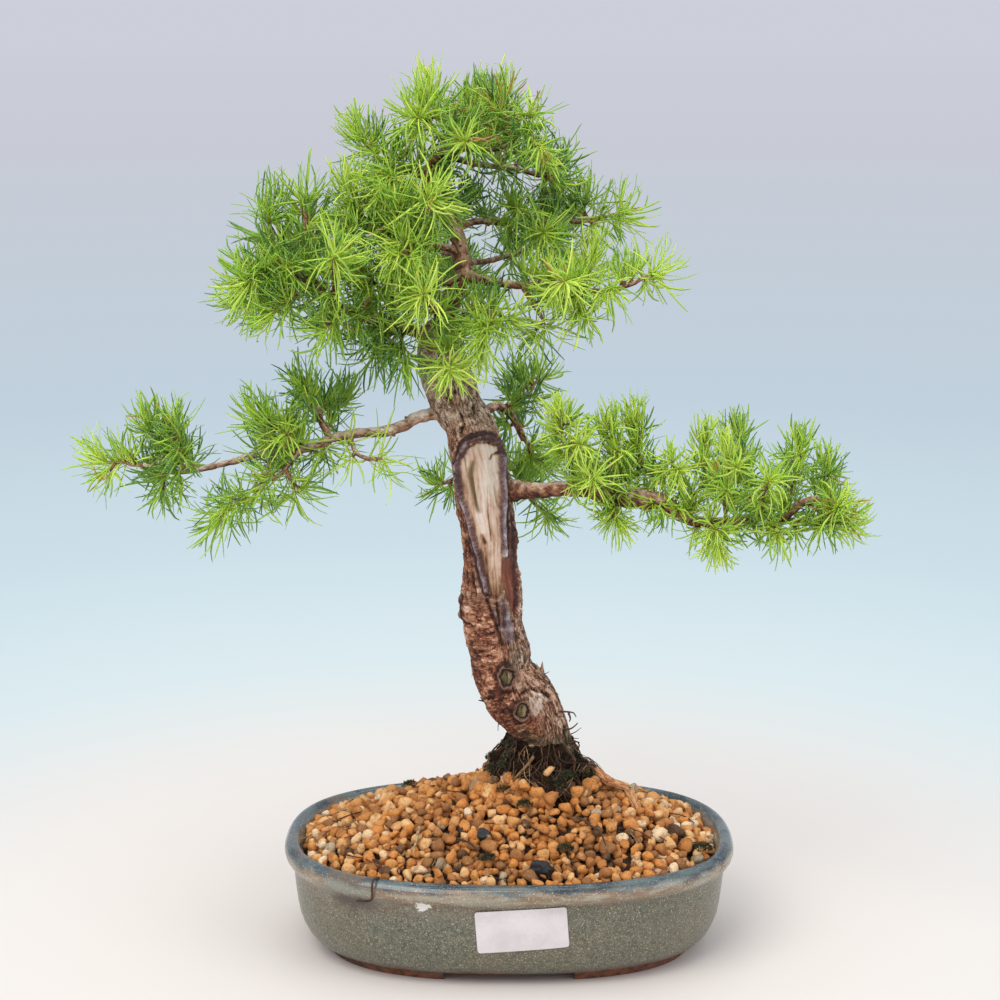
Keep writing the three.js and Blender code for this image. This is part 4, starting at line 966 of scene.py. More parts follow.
trunk = {
    "around": 176, "along": 400,
    "route": [[20, 14, 58, 15], [19, 14, 84, 25], [18, 13, 98, 24.5], [18, 13, 107, 22.5],
              [19, 12, 116, 19.4], [18.6, 11, 126, 16.8], [13, 10, 137, 19.2], [4.4, 8, 150, 20],
              [-3.2, 6, 163, 18], [-5.6, 5, 176, 17.9], [-9.8, 4, 194, 17.8], [-10, 3, 213, 17.8],
              [-11, 2, 231, 16.8], [-12, 1, 249, 17.2], [-15, 0, 268, 17.2], [-17, 0, 285, 16.8],
              [-19.4, 0, 297, 16.2], [-23, 0, 309, 15.2], [-29, 0, 321, 14.4], [-33, 0, 332, 14.8],
              [-37, -1, 344, 14.6], [-39, -2, 356, 13.2], [-40, -3, 366, 10.5], [-39, -4, 373, 6]],
    # Outlines in x and z, as seen from the front
    "panel": [(-14.8, 305.6), (-18.8, 305.3), (-22.7, 303.6), (-23.6, 300.5), (-24.9, 297), (-27.3, 294),
              (-28.4, 288.6), (-28, 283.2), (-26.7, 276.2), (-25, 269.2), (-22.8, 263), (-20.6, 256.8),
              (-19.3, 250.4), (-17.6, 244.1), (-16.3, 237.7), (-14.5, 231.3), (-12.8, 224), (-11.9, 217.7),
              (-10.1, 213.1), (-7.5, 211.2), (-5.2, 214.8), (-4.4, 221), (-4.6, 228.3), (-4.8, 237.5),
              (-5.3, 247.7), (-5.5, 256.7), (-5.7, 263.9), (-5.3, 270.9), (-5.7, 278), (-6.1, 290.2),
              (-6.6, 295.3), (-6.6, 300.2), (-7.9, 302.6), (-10.9, 304.5)],
    "healed": [(-15.3, 311.4), (-21.4, 310.1), (-24, 308.6), (-27.5, 305.6), (-30, 301.2), (-31.1, 295.4),
               (-31.8, 289.6), (-32.3, 283.5), (-31.9, 277.9), (-31.1, 272.8), (-29.4, 268), (-27.7, 263.8),
               (-25.5, 259.7), (-24.2, 254.3), (-22.6, 248), (-21.6, 242.6), (-20.7, 237.1), (-19.4, 229.8),
               (-18.5, 224.5), (-17.2, 219.6), (-15.4, 214.3), (-13.6, 212.5), (-11.9, 214.5), (-11.4, 218.6),
               (-10, 224), (-8, 238), (-5, 240), (-4.1, 237.4), (-2.2, 233.4), (-0.7, 235.5), (0, 241.2),
               (0, 246.7), (-0.1, 254), (-0.4, 261), (-0.2, 267.9), (-0.6, 273.1), (-1, 280), (-1.3, 285.1),
               (-1.5, 289.7), (-2.2, 295.1), (-3.5, 300.5), (-6.6, 305.2), (-10.1, 309.6)],
    "groove": [(-0.9, 276.6), (2.7, 273.4), (3.3, 266.1), (2.7, 257.8), (2.6, 249.6), (3, 240.2), (3.2, 231),
               (3.4, 222), (3.5, 213), (3.4, 207), (2.4, 201), (1.6, 199.5), (-0.4, 207.6), (-2.9, 213),
               (-3.9, 219.8), (-4.4, 228), (-4.6, 237), (-3.4, 234), (-0.7, 235.5), (0, 241.2), (0, 254),
               (-0.4, 265)],
    "seam": [(-5.5, 212.4), (-3.3, 211.8), (-1.2, 206.9), (0.5, 202.3), (2, 196.8), (3.4, 192.2),
             (3.7, 188), (2.7, 185.7), (0, 183.7), (-2.1, 185.8), (-3, 189.3), (-3.7, 194.5), (-4.3, 199.7),
             (-4.9, 204.8), (-5.7, 209.1)],
    # Where the outline is drawn in or let out: height, reach, and by how much at the left and at the right
    "trims": [(306, 7, -1.8, 0), (240, 18, -1.5, -1.0), (177, 5, 0, 0.7), (167.4, 3.6, 0, -1.3)],
    # Middle in x and z, and size
    "scars": [((-1.2, 164.2), 5.8), ((7.6, 143.6), 5.5)],
    # Folds, hollows and edges: width, and points in x and z
    "fold": (0.8, [(-13.5, 148.6), (-8, 152), (-3.7, 154.6), (4.5, 155.8)]),
    "crescent": (0.8, [(6.2, 151.6), (12.7, 153.6), (19.4, 151.2), (23.5, 147.6)]),
    "above": (0.7, [(6.2, 153.6), (12.7, 155.6), (19.8, 153.2), (24.3, 149.2)]),
    "peeled": (0.7, [(-27.2, 212), (-28, 203), (-26.6, 196), (-22, 193.6)]),
    "sunk": (1.5, [(-21.4, 292), (-23.2, 284), (-21.9, 277), (-19.7, 270), (-17.5, 264)]),
    "purple": (0.9, [(-9.6, 205.6), (-7.4, 202.8), (-5.4, 198.6), (-4.4, 193.5)]),
    # Cracks: how far they waver, strength, width, and points in x and z
    "pits": [(1, 1, 0.9, [(-7, 297.2), (-9.6, 296.6), (-10.4, 294.6)]),
             (1, 0.6, 1.1, [(-15.6, 249), (-14.2, 245)]),
             (1, 0.8, 0.7, [(-8, 301.6), (-12, 304), (-19, 304.2), (-23.6, 301)]),
             (0, 0.45, 0.35, [(-12.6, 279), (-12, 262), (-10.4, 246)])],
    "gaps": [(1, 1, 1.1, [(-13.6, 211), (-11, 205), (-8, 198.6), (-5.5, 191.4), (-3.6, 184)]),
             (0.5, 1, 0.7, [(-7.2, 209.6), (-6, 203), (-4.9, 195)])],
    "darkCracks": [(1, 1, 0.8, [(-30, 326), (-27.6, 321), (-26.2, 315), (-27.5, 311)]),
                   (0, 1, 1.0, [(-20, 324), (-19.4, 321.5)])],
}


# How far points in x and z are from the nearest of some straight lines
def toLines(x, z, starts, ends):
    nearest = np.full(x.shape, 1e9)
    for (ax, az), (bx, bz) in zip(starts, ends):
        length = (bx - ax) ** 2 + (bz - az) ** 2
        share = np.clip(((x - ax) * (bx - ax) + (z - az) * (bz - az)) / length, 0, 1)
        nearest = np.minimum(nearest, np.hypot(x - ax - share * (bx - ax), z - az - share * (bz - az)))
    return nearest


# How far points in x and z lie inside an outline. It is below zero outside
def insideBy(x, z, outline):
    corners = np.array(outline, float)
    others = np.roll(corners, -1, axis=0)
    isIn = np.zeros(x.shape, bool)
    for (ax, az), (bx, bz) in zip(corners, others):
        crosses = (az > z) != (bz > z)
        isIn ^= crosses & (x < ax + (z - az) * (bx - ax) / (bz - az if bz != az else 1e-9))
    nearest = toLines(x, z, corners, others)
    return np.where(isIn, nearest, -nearest)


def crackLine(x, z, width, points):
    return hump(toLines(x, z, points, points[1:]), 0, width)


# Of several cracks the strongest holds. Rows are how far one wavers, its strength, width and points
def strongest(x, z, wobble, rows):
    return np.max([share * crackLine(x + wobble * bend, z, width, line) for bend, share, width, line in rows],
                  axis=0)


def trunkSkin():
    route = smoothRoute(trunk["route"], count=trunk["along"])
    middle, radius = route[:, :3], route[:, 3]
    tangent = unit(np.gradient(middle, axis=0))
    right = unit(np.cross([0, 1, 0], tangent))
    away = unit(np.cross(tangent, right))
    front = (np.arange(trunk["around"]) / trunk["around"] * 2 - 1) * math.pi
    outward = right[:, None] * np.sin(front)[None, :, None] - away[:, None] * np.cos(front)[None, :, None]
    base = middle[:, None] + outward * radius[:, None, None]
    length = np.r_[0, np.cumsum(np.linalg.norm(np.diff(middle, axis=0), axis=1))]
    flow = np.stack([np.sin(front)[None] * radius[:, None], np.cos(front)[None] * radius[:, None],
                     np.broadcast_to(length[:, None], base.shape[:2])], axis=-1)
    x, z = base[..., 0], base[..., 2]
    ahead = smoothStep(np.cos(front), -0.05, 0.2)[None] + 0 * x
    # Uneven swelling of the whole trunk, and the flare of the roots
    relief = softNoise(flow * [1, 1, 0.6], 22, 51, 2) * 0.9 + softNoise(flow, 9, 50, 2) * 0.4 - 1.3
    relief += 1.1 * hump(z, 137, 9) * np.cos(front + 0.6)[None]
    relief += 3.2 * np.clip((108 - z) / 26, 0, 1) * np.cos(4 * front + 0.6)[None]
    wobble = softNoise(flow * [1, 1, 0.7], 5, 52, 3) * 0.6
    # The outlines hold where the skin ends up, so its way in or out is taken off first
    aside = np.sin(front)[None]
    woodX, stripX = x - 3.2 * aside, x - 2.4 * aside
    panelIn = insideBy(woodX + wobble, z + wobble, trunk["panel"])
    healedIn = insideBy(x - 1.6 * aside + wobble * 0.8, z, trunk["healed"])
    grooveIn = insideBy(stripX + wobble * 0.7, z, trunk["groove"])
    seamIn = insideBy(x + wobble * 0.5, z, trunk["seam"])
    panel = smoothStep(panelIn, -0.5, 0.5) * ahead
    ring = np.clip(healedIn, 0, None) / (np.clip(healedIn, 0, None) + np.clip(-panelIn, 0.001, None))
    healed = smoothStep(healedIn, -0.2, 0.6) * (1 - panel) * ahead
    groove = smoothStep(grooveIn, -0.5, 0.6) * (1 - panel) * (1 - 0.8 * healed) * ahead
    seam = smoothStep(seamIn, -0.3, 0.9) * ahead * (1 - 0.5 * groove)
    bark = 1 - np.clip(panel + healed + groove + seam, 0, 1)
    # Bark: scales that overlap like torn paper, lying across the lower trunk and along the upper one
    warp = np.stack([softNoise(flow, 8, 53 + k, 3) for k in range(3)], axis=-1) * 2.4
    around = np.broadcast_to((front * 18)[None], x.shape)
    leftLow = smoothStep(-(x - middle[:, None, 0]), -12, 0) * (1 - smoothStep(z, 205, 216)) * ahead
    for height, reach, left, right in trunk["trims"]:
        sides = left * smoothStep(-aside, 0.45, 0.95) + right * smoothStep(aside, 0.45, 0.95)
        relief += sides * hump(z, height, reach)
    across = z / 4.4 + 1.5 * softNoise(flow * [0.5, 0.5, 1.1], 7, 56, 4)
    upright = around / 5.2 + 1.7 * softNoise(flow * [1, 1, 0.32], 9, 60, 4)
    blend = np.clip(leftLow + 0.5 * (1 - smoothStep(z, 190, 222)) * softNoise(flow, 11, 55, 2), 0, 1)
    torn, tornEdge = 0, 0
    for value, share in ((across, blend), (upright, 1 - blend)):
        saw = value - np.floor(value)
        torn = torn + share * (1 - saw) ** 0.8
        tornEdge = tornEdge + share * np.clip(1 - np.minimum(saw, 1 - saw) / 0.09, 0, 1)
    broken = smoothStep(softNoise(flow, 6, 59, 3), -0.45, 0.35)
    edge, plate = plates(flow * [1, 1, 0.55] + warp, 5.2, 65)
    split = (1 - smoothStep(edge, 0.0, 0.13)) * smoothStep(softNoise(flow, 9, 64, 2), -0.2, 0.5)
    crack = np.clip(tornEdge * broken * (1 - 0.45 * leftLow) + 0.8 * split * (1 - leftLow), 0, 1)
    crack *= 1 - 0.55 * smoothStep(z, 298, 312)
    rough = softNoise(flow, 2.2, 69, 3)
    relief += bark * (0.95 * torn * (1 - 0.45 * leftLow) + 0.35 * plate + 0.32 * rough - 0.85 * crack)
    lowLeft = hump(z, 186, 20) * smoothStep(-(x + 3), -4, 5) * ahead * bark
    wrinkle = softNoise(flow * [0.36, 0.36, 2.3], 5.2, 57, 3)
    relief += lowLeft * 0.5 * wrinkle
    # A fold and a pale crescent of loose bark beside the scars
    fold = crackLine(x + wobble, z, *trunk["fold"]) * ahead
    crescent = crackLine(x, z + wobble, *trunk["crescent"]) * ahead
    above = crackLine(x, z + wobble, *trunk["above"]) * ahead
    relief += 0.8 * crescent - 0.9 * above - 0.7 * fold
    # The bump of bark at the left, torn off sharply below
    flap = hump(front[None], -1.45, 0.42) * smoothStep(z, 193.5, 197.5) * (1 - smoothStep(z, 205, 220))
    relief += flap * (2.4 + 0.5 * rough)
    peeled = crackLine(x + wobble, z, *trunk["peeled"]) * ahead
    relief -= peeled * 1.2
    # The flaky edge right of the groove
    ragged = softNoise(flow * [1, 1, 0.5], 5, 58, 3)
    lip = hump(x, 5.4, 1.8) * ahead * smoothStep(z, 190, 206) * (1 - smoothStep(z, 262, 274))
    relief += lip * (1.5 + 1.2 * ragged + 0.7 * rough)
    # Deadwood: long grain, an olive hollow high on the left, darkened with painted shade, and torn dark
    # points high on the right
    grain = softNoise(flow * [1.5, 1.5, 0.12], 2.4, 61, 4)
    blotch = softNoise(flow * [1, 1, 0.5], 8, 67, 3)
    sunk = crackLine(woodX + wobble, z, *trunk["sunk"])
    pit = strongest(woodX, z, wobble, trunk["pits"])
    relief += panel * (-2.2 + 0.55 * grain + 0.3 * rough - 1.1 * sunk - 1.0 * pit)
    # Healed edges roll over the wood. A gap parts them from the bark, painted near black as shade in the
    # crevice. The rolls' tone is painted too: a highlight along the crest, shade at their edges
    crest = hump(ring, 0.62, 0.27)
    arch = smoothStep(z, 299, 307)
    ripples = np.sin(z * 1.9 + softNoise(flow, 6, 62, 2) * 4)
    relief += healed * (-0.7 + 2.7 * crest + 0.14 * ripples + 0.1 * rough)
    relief += groove * (-1.9 + 0.45 * grain) + seam * (0.9 + 0.35 * ragged)
    purple = crackLine(x, z, *trunk["purple"]) * ahead * (1 - panel)
    gap = strongest(x, z, wobble, trunk["gaps"]) * ahead * (1 - panel) * (1 - 0.7 * seam)
    darkCrack = strongest(x, z, wobble, trunk["darkCracks"]) * ahead
    relief -= purple * 0.3 + darkCrack * 1.3 + gap * 1.6
    # How light each place is, from 0 to 1
    paleSpot = hump(z, 146.6, 6.4) * hump(x, 14.5, 7.5) + 0.2 * rough
    paleSpot = smoothStep(paleSpot, 0.25, 0.7) * ahead
    tone = 0.49 + 0.3 * (torn - 0.5) + 0.16 * (plate - 0.5) + 0.12 * rough + 0.12 * softNoise(flow, 13, 68, 2)
    tone += 0.2 * lowLeft * wrinkle + 0.34 * paleSpot - 0.42 * crack
    # Painted shade darkens the fold, the groove above the crescent and the line beside the peeled flap; the
    # crescent of loose bark is paler
    tone += 0.3 * crescent - 0.4 * above - 0.35 * fold - 0.5 * peeled
    tone -= 0.07 * hump(z, 138, 16) * smoothStep(-x, -8, 6) * ahead
    # The flaky edge is lighter. Painted shade darkens the trunk towards its sides and back
    tone += 0.12 * lip - 0.14 * smoothStep(np.cos(front)[None], 0.3, -0.6)
    tone += 0.12 * smoothStep(z, 303, 316)
    tone += 0.07 * hump(z, 152, 22) * smoothStep(x - middle[:, None, 0], 0, 9) * ahead
    redLeft = hump(z, 240, 26) * smoothStep(-aside, 0.2, 0.7)
    tone -= 0.1 * redLeft
    lower = 2 - smoothStep(z, 222, 260) - smoothStep(z, 258, 292)
    # Painted shade darkens the wood in the hollow high on the left
    toneWood = 0.87 + 0.2 * grain + 0.26 * blotch - 0.22 * lower - 0.3 * sunk - 0.8 * pit
    # Painted shade: the wood darkens along its edge, where the rolls lie over it
    toneWood -= 0.2 * (1 - smoothStep(panelIn, 0.1, 1.2))
    # The rolls keep their own lilac-grey, with a painted highlight along the crest and painted shade at both
    # edges
    toneRoll = 0.05 + 0.7 * crest * (1 - 0.7 * arch) * (0.72 + 0.4 * blotch) + 0.24 * rough * crest
    toneStrip = 0.56 - 0.5 * smoothStep(stripX, 1.2, 3.0) - 0.2 * smoothStep(z, 234, 250) + 0.12 * grain
    tone = tone * bark + toneWood * panel + toneRoll * healed + toneStrip * groove
    tonePurple = purple * (0.5 + 0.3 * rough - tone)
    tone += seam * (0.45 + 0.26 * ragged + 0.22 * rough) * (1 - panel) + tonePurple - 0.5 * darkCrack
    # Painted shade: the gaps beside the rolls are painted near black
    tone = tone * (1 - gap) + 0.05 * gap
    grey = 0.24 + 0.22 * softNoise(flow, 10, 70, 2) + 0.4 * smoothStep(z, 305, 322) + 0.2 * paleSpot
    grey += 0.3 * smoothStep(x - middle[:, None, 0], 0, 9) - 0.3 * leftLow - 0.3 * redLeft
    grey += 0.9 * hump(x, 4.4, 4.4) * hump(z, 173, 4.6) * ahead
    knot, rings, heart = np.zeros((3, *x.shape))
    for (scarX, scarZ), size in trunk["scars"]:
        far = np.hypot((x - scarX) / 0.8, z - scarZ) / size
        far = far + softNoise(flow, 3.4, 63, 3) * 0.13 + (1 - ahead) * 9
        mask = 1 - smoothStep(far, 1.2, 1.5)
        relief = relief * (1 - mask * 0.6)
        relief += 1.3 * hump(far, 0, 1.5)
        relief += mask * (0.9 * hump(far, 1.1, 0.2) - 1.0 * hump(far, 0.78, 0.16)
                          + 0.5 * hump(far, 0, 0.5) + 0.25 * rough)
        split = crackLine(x, z, 0.55, [(scarX - 0.4, scarZ + 2.4), (scarX, scarZ - 1.6)])
        relief -= split * 0.8
        knot = np.maximum(knot, mask)
        rings = np.where(mask > 0, far + 0.12 * rough + 0.5 * split * (far < 0.7), rings)
        tone -= 0.34 * hump(far, 1.3, 0.38) * (0.5 + 0.6 * broken)
        heart = np.where(mask > 0, smoothStep(x - scarX + 0.8 * rough, -0.9, 1.5), heart)
    mossTop = np.interp(x, [-2, 0.5, 6.3, 12.9, 19.5, 23.6, 27.8, 36.3],
                        [124, 126, 131, 130.5, 129, 127.5, 129, 125]) + 3.6 * ragged
    specks = softNoise(flow, 2.6, 66, 3)
    moss = smoothStep(1.2 * softNoise(flow, 4.4, 71, 3) + (mossTop - z) / 4.2 + 0.3 * crack, -0.1, 0.7)
    moss = np.maximum(moss, 0.8 * smoothStep(specks, 0.05, 0.4) * hump(z, 129, 7) * smoothStep(x, 0, 8))
    at = base + outward * relief[..., None]
    points = np.vstack([at.reshape(-1, 3), [*middle[0, :2], 56], [*middle[-1, :2], 375.5]])
    masks = {"wood": panel, "rolled": np.clip(healed + seam + purple, 0, 1), "lying": leftLow,
             "strip": groove, "knot": knot, "rings": rings, "heart": heart, "moss": moss, "tone": tone,
             "grey": grey, "green": sunk * panel}
    values = {name: np.append(mask.ravel(), [0, 0]) for name, mask in masks.items()}
    values["flow"] = np.vstack([flow.reshape(-1, 3), [0, 0, 0], [0, 0, length[-1]]])
    return newPiece("larchTrunk", points, ringFaces(trunk["along"], trunk["around"]), values=values)


# Flaky bark: a light or dark tone, from red-brown to grey, broken up by fine flakes and fibres
def fillBark(m, given):
    flow = given["Flow"]
    fine = m.noise(flow, 1.5, 4, 0.68, 0.4)
    wave = m.node("TexNoise")
    m.feed(wave.inputs["Vector"], flow)
    m.feed(wave.inputs["Scale"], 0.55)
    m.feed(wave.inputs["Detail"], 3.0)
    bent = m.shift(flow, wave.outputs["Color"], 3.0)
    laid = m.mix(given["Lying"], m.stretch(bent, (1, 1, 0.42)), m.stretch(bent, (0.26, 0.26, 0.8)))
    flakes = m.cells(laid, 0.62, output="Color")
    chips = m.cells(laid, 1.5, output="Color")
    edges = m.cells(laid, 0.62, feature="DISTANCE_TO_EDGE")
    strands = m.mix(given["Lying"], m.stretch(flow, (1, 1, 0.28)), m.stretch(bent, (0.3, 0.3, 1.1)))
    fibres = m.noise(strands, 0.85, 4, 0.65, 0.5)
    loose = m.band(edges, 0.0, 0.12, -0.22, 0.0)
    for part, share in ((fine, 0.45), (fibres, 0.34), (flakes, 0.5), (chips, 0.28)):
        loose = m.sum(loose, m.sway(part, share))
    tone = m.sum(given["Tone"], m.times(loose, given["Patchy"]))
    red = m.ramp(tone, (0.02, 42, 20, 14), (0.25, 108, 56, 36), (0.47, 164, 104, 72),
                 (0.7, 212, 162, 130), (0.95, 238, 212, 194))
    grey = m.ramp(tone, (0.02, 42, 32, 26), (0.25, 98, 74, 56), (0.47, 156, 126, 100),
                  (0.7, 202, 174, 150), (0.95, 234, 216, 202))
    height = m.sum(m.sum(m.times(fibres, 0.7), m.times(fine, 0.5)), m.times(flakes, 1.1))
    height = m.sum(height, m.band(edges, 0.0, 0.15, -0.5, 0.0))
    return {"Color": m.mix(given["Grey"], red, grey), "Height": height, "Fibres": fibres}


barkSkin = newGroup("barkSkin", {"Flow": ("Vector", None), "Tone": ("Float", 0.5), "Grey": ("Float", 0.3),
                                 "Lying": ("Float", 0.0), "Patchy": ("Float", 1.0)},
                    {"Color": "Color", "Height": "Float", "Fibres": "Float"}, fillBark)


def paintTrunk(m, spot):
    flow, tone = m.stored("flow", "Vector"), m.stored("tone")
    bark = m.group(barkSkin, Flow=flow, Tone=tone, Grey=m.stored("grey"), Lying=m.stored("lying"))
    grain = m.noise(m.stretch(flow, (1, 1, 0.1)), 1.3, 5, 0.7, 0.6)
    stains = m.noise(m.stretch(flow, (1, 1, 0.5)), 0.3, 5, 0.7, 0.5)
    lines = m.sum(tone, m.sway(grain, 0.7))
    lines = m.sum(lines, m.sway(stains, 0.6))
    wood = m.ramp(lines, (0.0, 46, 32, 24), (0.26, 128, 86, 60), (0.48, 184, 142, 110),
                  (0.72, 228, 192, 168), (0.98, 244, 222, 204))
    # The hollow high on the left: its own olive tint, darkened with painted shade
    wood = m.mix(m.times(m.stored("green"), 0.75), wood, rgb(116, 104, 66))
    pits = m.noise(flow, 0.8, 4, 0.7)
    fine = m.sum(tone, m.sway(m.noise(flow, 1.4, 5, 0.8), 1.6))
    rolled = m.ramp(fine, (0.03, 36, 16, 14), (0.24, 84, 46, 40), (0.42, 122, 96, 96),
                    (0.72, 168, 154, 158), (1.0, 220, 212, 210))
    strip = m.ramp(lines, (0.05, 54, 22, 17), (0.35, 106, 46, 30), (0.7, 150, 86, 60))
    colour = m.mix(m.stored("wood"), bark["Color"], wood)
    colour = m.mix(m.stored("rolled"), colour, rolled)
    colour = m.mix(m.stored("strip"), colour, strip)
    far = m.sum(m.stored("rings"), m.sway(pits, 0.7))
    heart = m.mix(m.stored("heart"), rgb(98, 92, 44), rgb(172, 146, 114))
    heart = m.mix(m.band(pits, 0.38, 0.5, 0.8, 0.0), heart, rgb(66, 50, 28))
    rings = m.ramp(far, (0.64, 112, 84, 58), (0.74, 52, 30, 22), (0.9, 44, 24, 20),
                   (0.99, 140, 102, 82))
    rings = m.mix(m.band(far, 0.54, 0.7), heart, rings)
    colour = m.mix(m.times(m.stored("knot"), m.band(far, 1.06, 1.24, 1.0, 0.0)), colour, rings)
    moss = m.mix(m.band(bark["Fibres"], 0.4, 0.6), rgb(28, 24, 14), rgb(70, 74, 32))
    colour = m.mix(m.times(m.stored("moss"), m.band(bark["Fibres"], 0.36, 0.6, 0.95, 0.5)), colour, moss)
    height = m.fade(m.stored("wood"), bark["Height"], m.times(grain, 1.6))
    height = m.fade(m.stored("rolled"), height, m.times(bark["Fibres"], 0.5))
    gloss = m.band(m.sum(m.stored("rolled"), m.stored("strip")), 0.0, 0.8, 0.88, 0.45)
    return {"Base Color": colour, "Roughness": gloss, "Normal": m.bump(height, 0.0008, 0.8)}


finishPiece(trunkSkin(), newPaint("larchBark", paintTrunk), "bark", "tree_wood")
print("trunk made")


# The limbs and sawn stubs, one skin each, with the knobs that old needle tufts left on them

# Radius at the start and at the end, and the middle line
limbs = {
    "leader": (6.6, 2.6, [[-39, -3, 358], [-35, -4, 378], [-31, -5, 389], [-27, -6, 402], [-28, -6, 415],
        [-31, -7, 425], [-36, -8, 433], [-42, -9, 442], [-46, -10, 451], [-44, -11, 460], [-40, -12, 466],
        [-34, -12, 470]]),
    "apex": (2.8, 1.2, [[-35, -12, 469], [-25, -12, 472], [-15, -13, 471], [-5, -14, 472], [5, -16, 478],
        [12, -18, 485]]),
    "secondStem": (2, 1.8, [[-32, -7, 427], [-36, -4, 441], [-36, -2, 452], [-34, -5, 463],
        [-34, -11, 469]]),
    "tipTwig": (1.8, 1.2, [[-35, -12, 470], [-39, -12, 478], [-43, -12, 484], [-46, -12, 488]]),
    "apexLow": (2, 1.2, [[-37, -11, 467], [-22, -2, 462], [-10, 6, 459], [3, 12, 457], [17, 16, 453]]),
    "apexBack": (2, 1.2, [[-33, -12, 470], [-27, 12, 473], [-18, 34, 478], [-10, 50, 482]]),
    "upperRight": (2.4, 1.2, [[-31, -7, 426], [-18, 4, 428], [-3, 10, 427], [12, 14, 425], [29, 18, 426],
        [46, 22, 427], [54, 24, 428]]),
    "upperLeft": (1.9, 1.2, [[-45, -10, 453], [-55, -6, 457], [-63, -4, 459], [-71, -3, 464]]),
    "leaderFront": (1.8, 1.2, [[-39, -9, 437], [-43, -24, 440], [-45, -37, 443]]),
    "midLeft": (2.2, 1.2, [[-28, -6, 413], [-45, -14, 418], [-61, -20, 422], [-79, -24, 428]]),
    "centreLeft": (2.2, 1.2, [[-29, -6, 396], [-41, -10, 395], [-55, -14, 394], [-68, -16, 391]]),
    "midRight": (2.8, 1.2, [[-27, -6, 400], [-16, -8, 397], [-4, -10, 395], [8, -11, 394], [20, -13, 396],
        [30, -16, 395], [41, -18, 393], [52, -18, 392], [63, -18, 394], [71, -18, 397]]),
    "midRightDrop": (1.6, 1.1, [[8, -11, 394], [12, -14, 385], [17, -16, 378]]),
    "left": (3.6, 1.3, [[-41, -4, 363], [-59, -16, 371], [-75, -26, 376], [-91, -34, 384], [-106, -38, 395],
        [-120, -40, 405], [-131, -42, 409]]),
    "leftHigh": (1.7, 1.2, [[-106, -38, 395], [-111, -36, 411], [-113, -34, 424], [-112, -34, 434]]),
    "leftBack": (1.7, 1.2, [[-120, -40, 405], [-129, -36, 419], [-131, -34, 428]]),
    "leftFront": (1.7, 1.2, [[-97, -35, 388], [-96, -50, 403], [-96, -60, 411]]),
    "frontStar": (2, 1.2, [[-38, -6, 366], [-41, -30, 380], [-45, -48, 391]]),
    "frontDrop": (2, 1.2, [[-36, -6, 362], [-34, -32, 361], [-34, -47, 358]]),
    "frontRight": (2, 1.2, [[-35, -5, 372], [-20, -18, 380], [-8, -24, 380]]),
    "frontLeft": (1.8, 1.2, [[-59, -16, 371], [-66, -10, 367], [-72, -7, 365]]),
    "rearLeft": (2.2, 1.2, [[-28, -6, 411], [-40, 24, 409], [-57, 52, 413], [-72, 70, 419]]),
    "rearMid": (2.4, 1.2, [[-36, -4, 368], [-31, 26, 380], [-30, 56, 385], [-34, 82, 388]]),
    "rearRight": (2.2, 1.2, [[-27, -6, 407], [-15, 24, 403], [3, 46, 404], [19, 58, 408]]),
    "lowLeft": (3.8, 1.3, [[-34, 0, 321], [-53, -6, 317], [-60, -8, 313], [-73, -10, 310], [-87, -12, 309],
        [-102, -14, 307], [-112, -15, 302], [-129, -17, 300], [-148, -18, 297], [-162, -19, 293],
        [-176, -20, 290], [-193, -21, 289], [-208, -22, 293]]),
    "lowLeftStub": (2, 1.7, [[-102, -14, 307], [-107, -12, 315], [-109, -12, 323]]),
    "lowLeftHang": (1.6, 1.2, [[-119, -16, 301], [-123, -22, 295], [-127, -26, 291]]),
    "lowLeftShoot": (1.5, 1.1, [[-91, -12, 308], [-87, -20, 300], [-79, -25, 297]]),
    "lowRight": (5.2, 1.4, [[-9, 8, 271], [3, 0, 273.5], [11, -10, 275.5], [20, -18, 277], [37, -24, 280],
        [51, -28, 279], [62, -30, 276], [75, -33, 276], [87, -35, 274], [98, -36, 267], [108, -36, 263],
        [120, -35, 263], [134, -34, 264], [145, -33, 266], [158, -32, 263], [167, -31, 261],
        [176, -30, 260]]),
    "lowRightStub": (2.6, 2.3, [[155, -32, 264], [164, -34, 273], [174, -36, 277]]),
    "lowRightStars": (2, 1.2, [[34, -24, 279], [35, -32, 292], [32, -36, 306]]),
    "lowRightRise": (2.2, 1.2, [[58, -29, 277], [64, -22, 284], [74, -18, 287], [85, -20, 288]]),
    "rearLimb": (3.4, 2, [[-29, 2, 313], [-14, 16, 317], [-7, 26, 318], [-1, 34, 313], [5, 40, 304],
        [9, 45, 294]]),
    "rearLimbUp": (1.9, 1.2, [[-1, 34, 313], [3, 42, 317], [13, 51, 322]]),
    "rearBranch": (3, 1.5, [[-15, 4, 283], [-16, 34, 283], [-15, 60, 275], [-14, 80, 266]]),
    "rearBranchLeft": (1.7, 1.2, [[-15, 60, 275], [-28, 74, 267], [-37, 87, 259]]),
    "rearBranchRight": (1.9, 1.2, [[-15, 50, 277], [1, 66, 265], [17, 79, 246]]),
    "surfaceRoot": (3.4, 1.5, [[28, 12, 112], [34, 12, 111], [42, 12, 105], [52, 9, 100], [59, 5, 95],
        [69, 5, 90], [74, -4, 84], [79, -11, 76], [83, -15, 69]]),
}

plainWood = {"root": 0.0, "cut": 0.0, "young": 0.0}
# How grey a limb's bark is. The rest is red-brown
limbGreys = {"leader": 0.25, "apex": 0.4, "secondStem": 0.2, "lowRight": 0.2, "lowLeft": 0.7, "rearLimb": 0.4}
limbTones = {"lowLeft": 0.15, "rearLimb": 0.06}
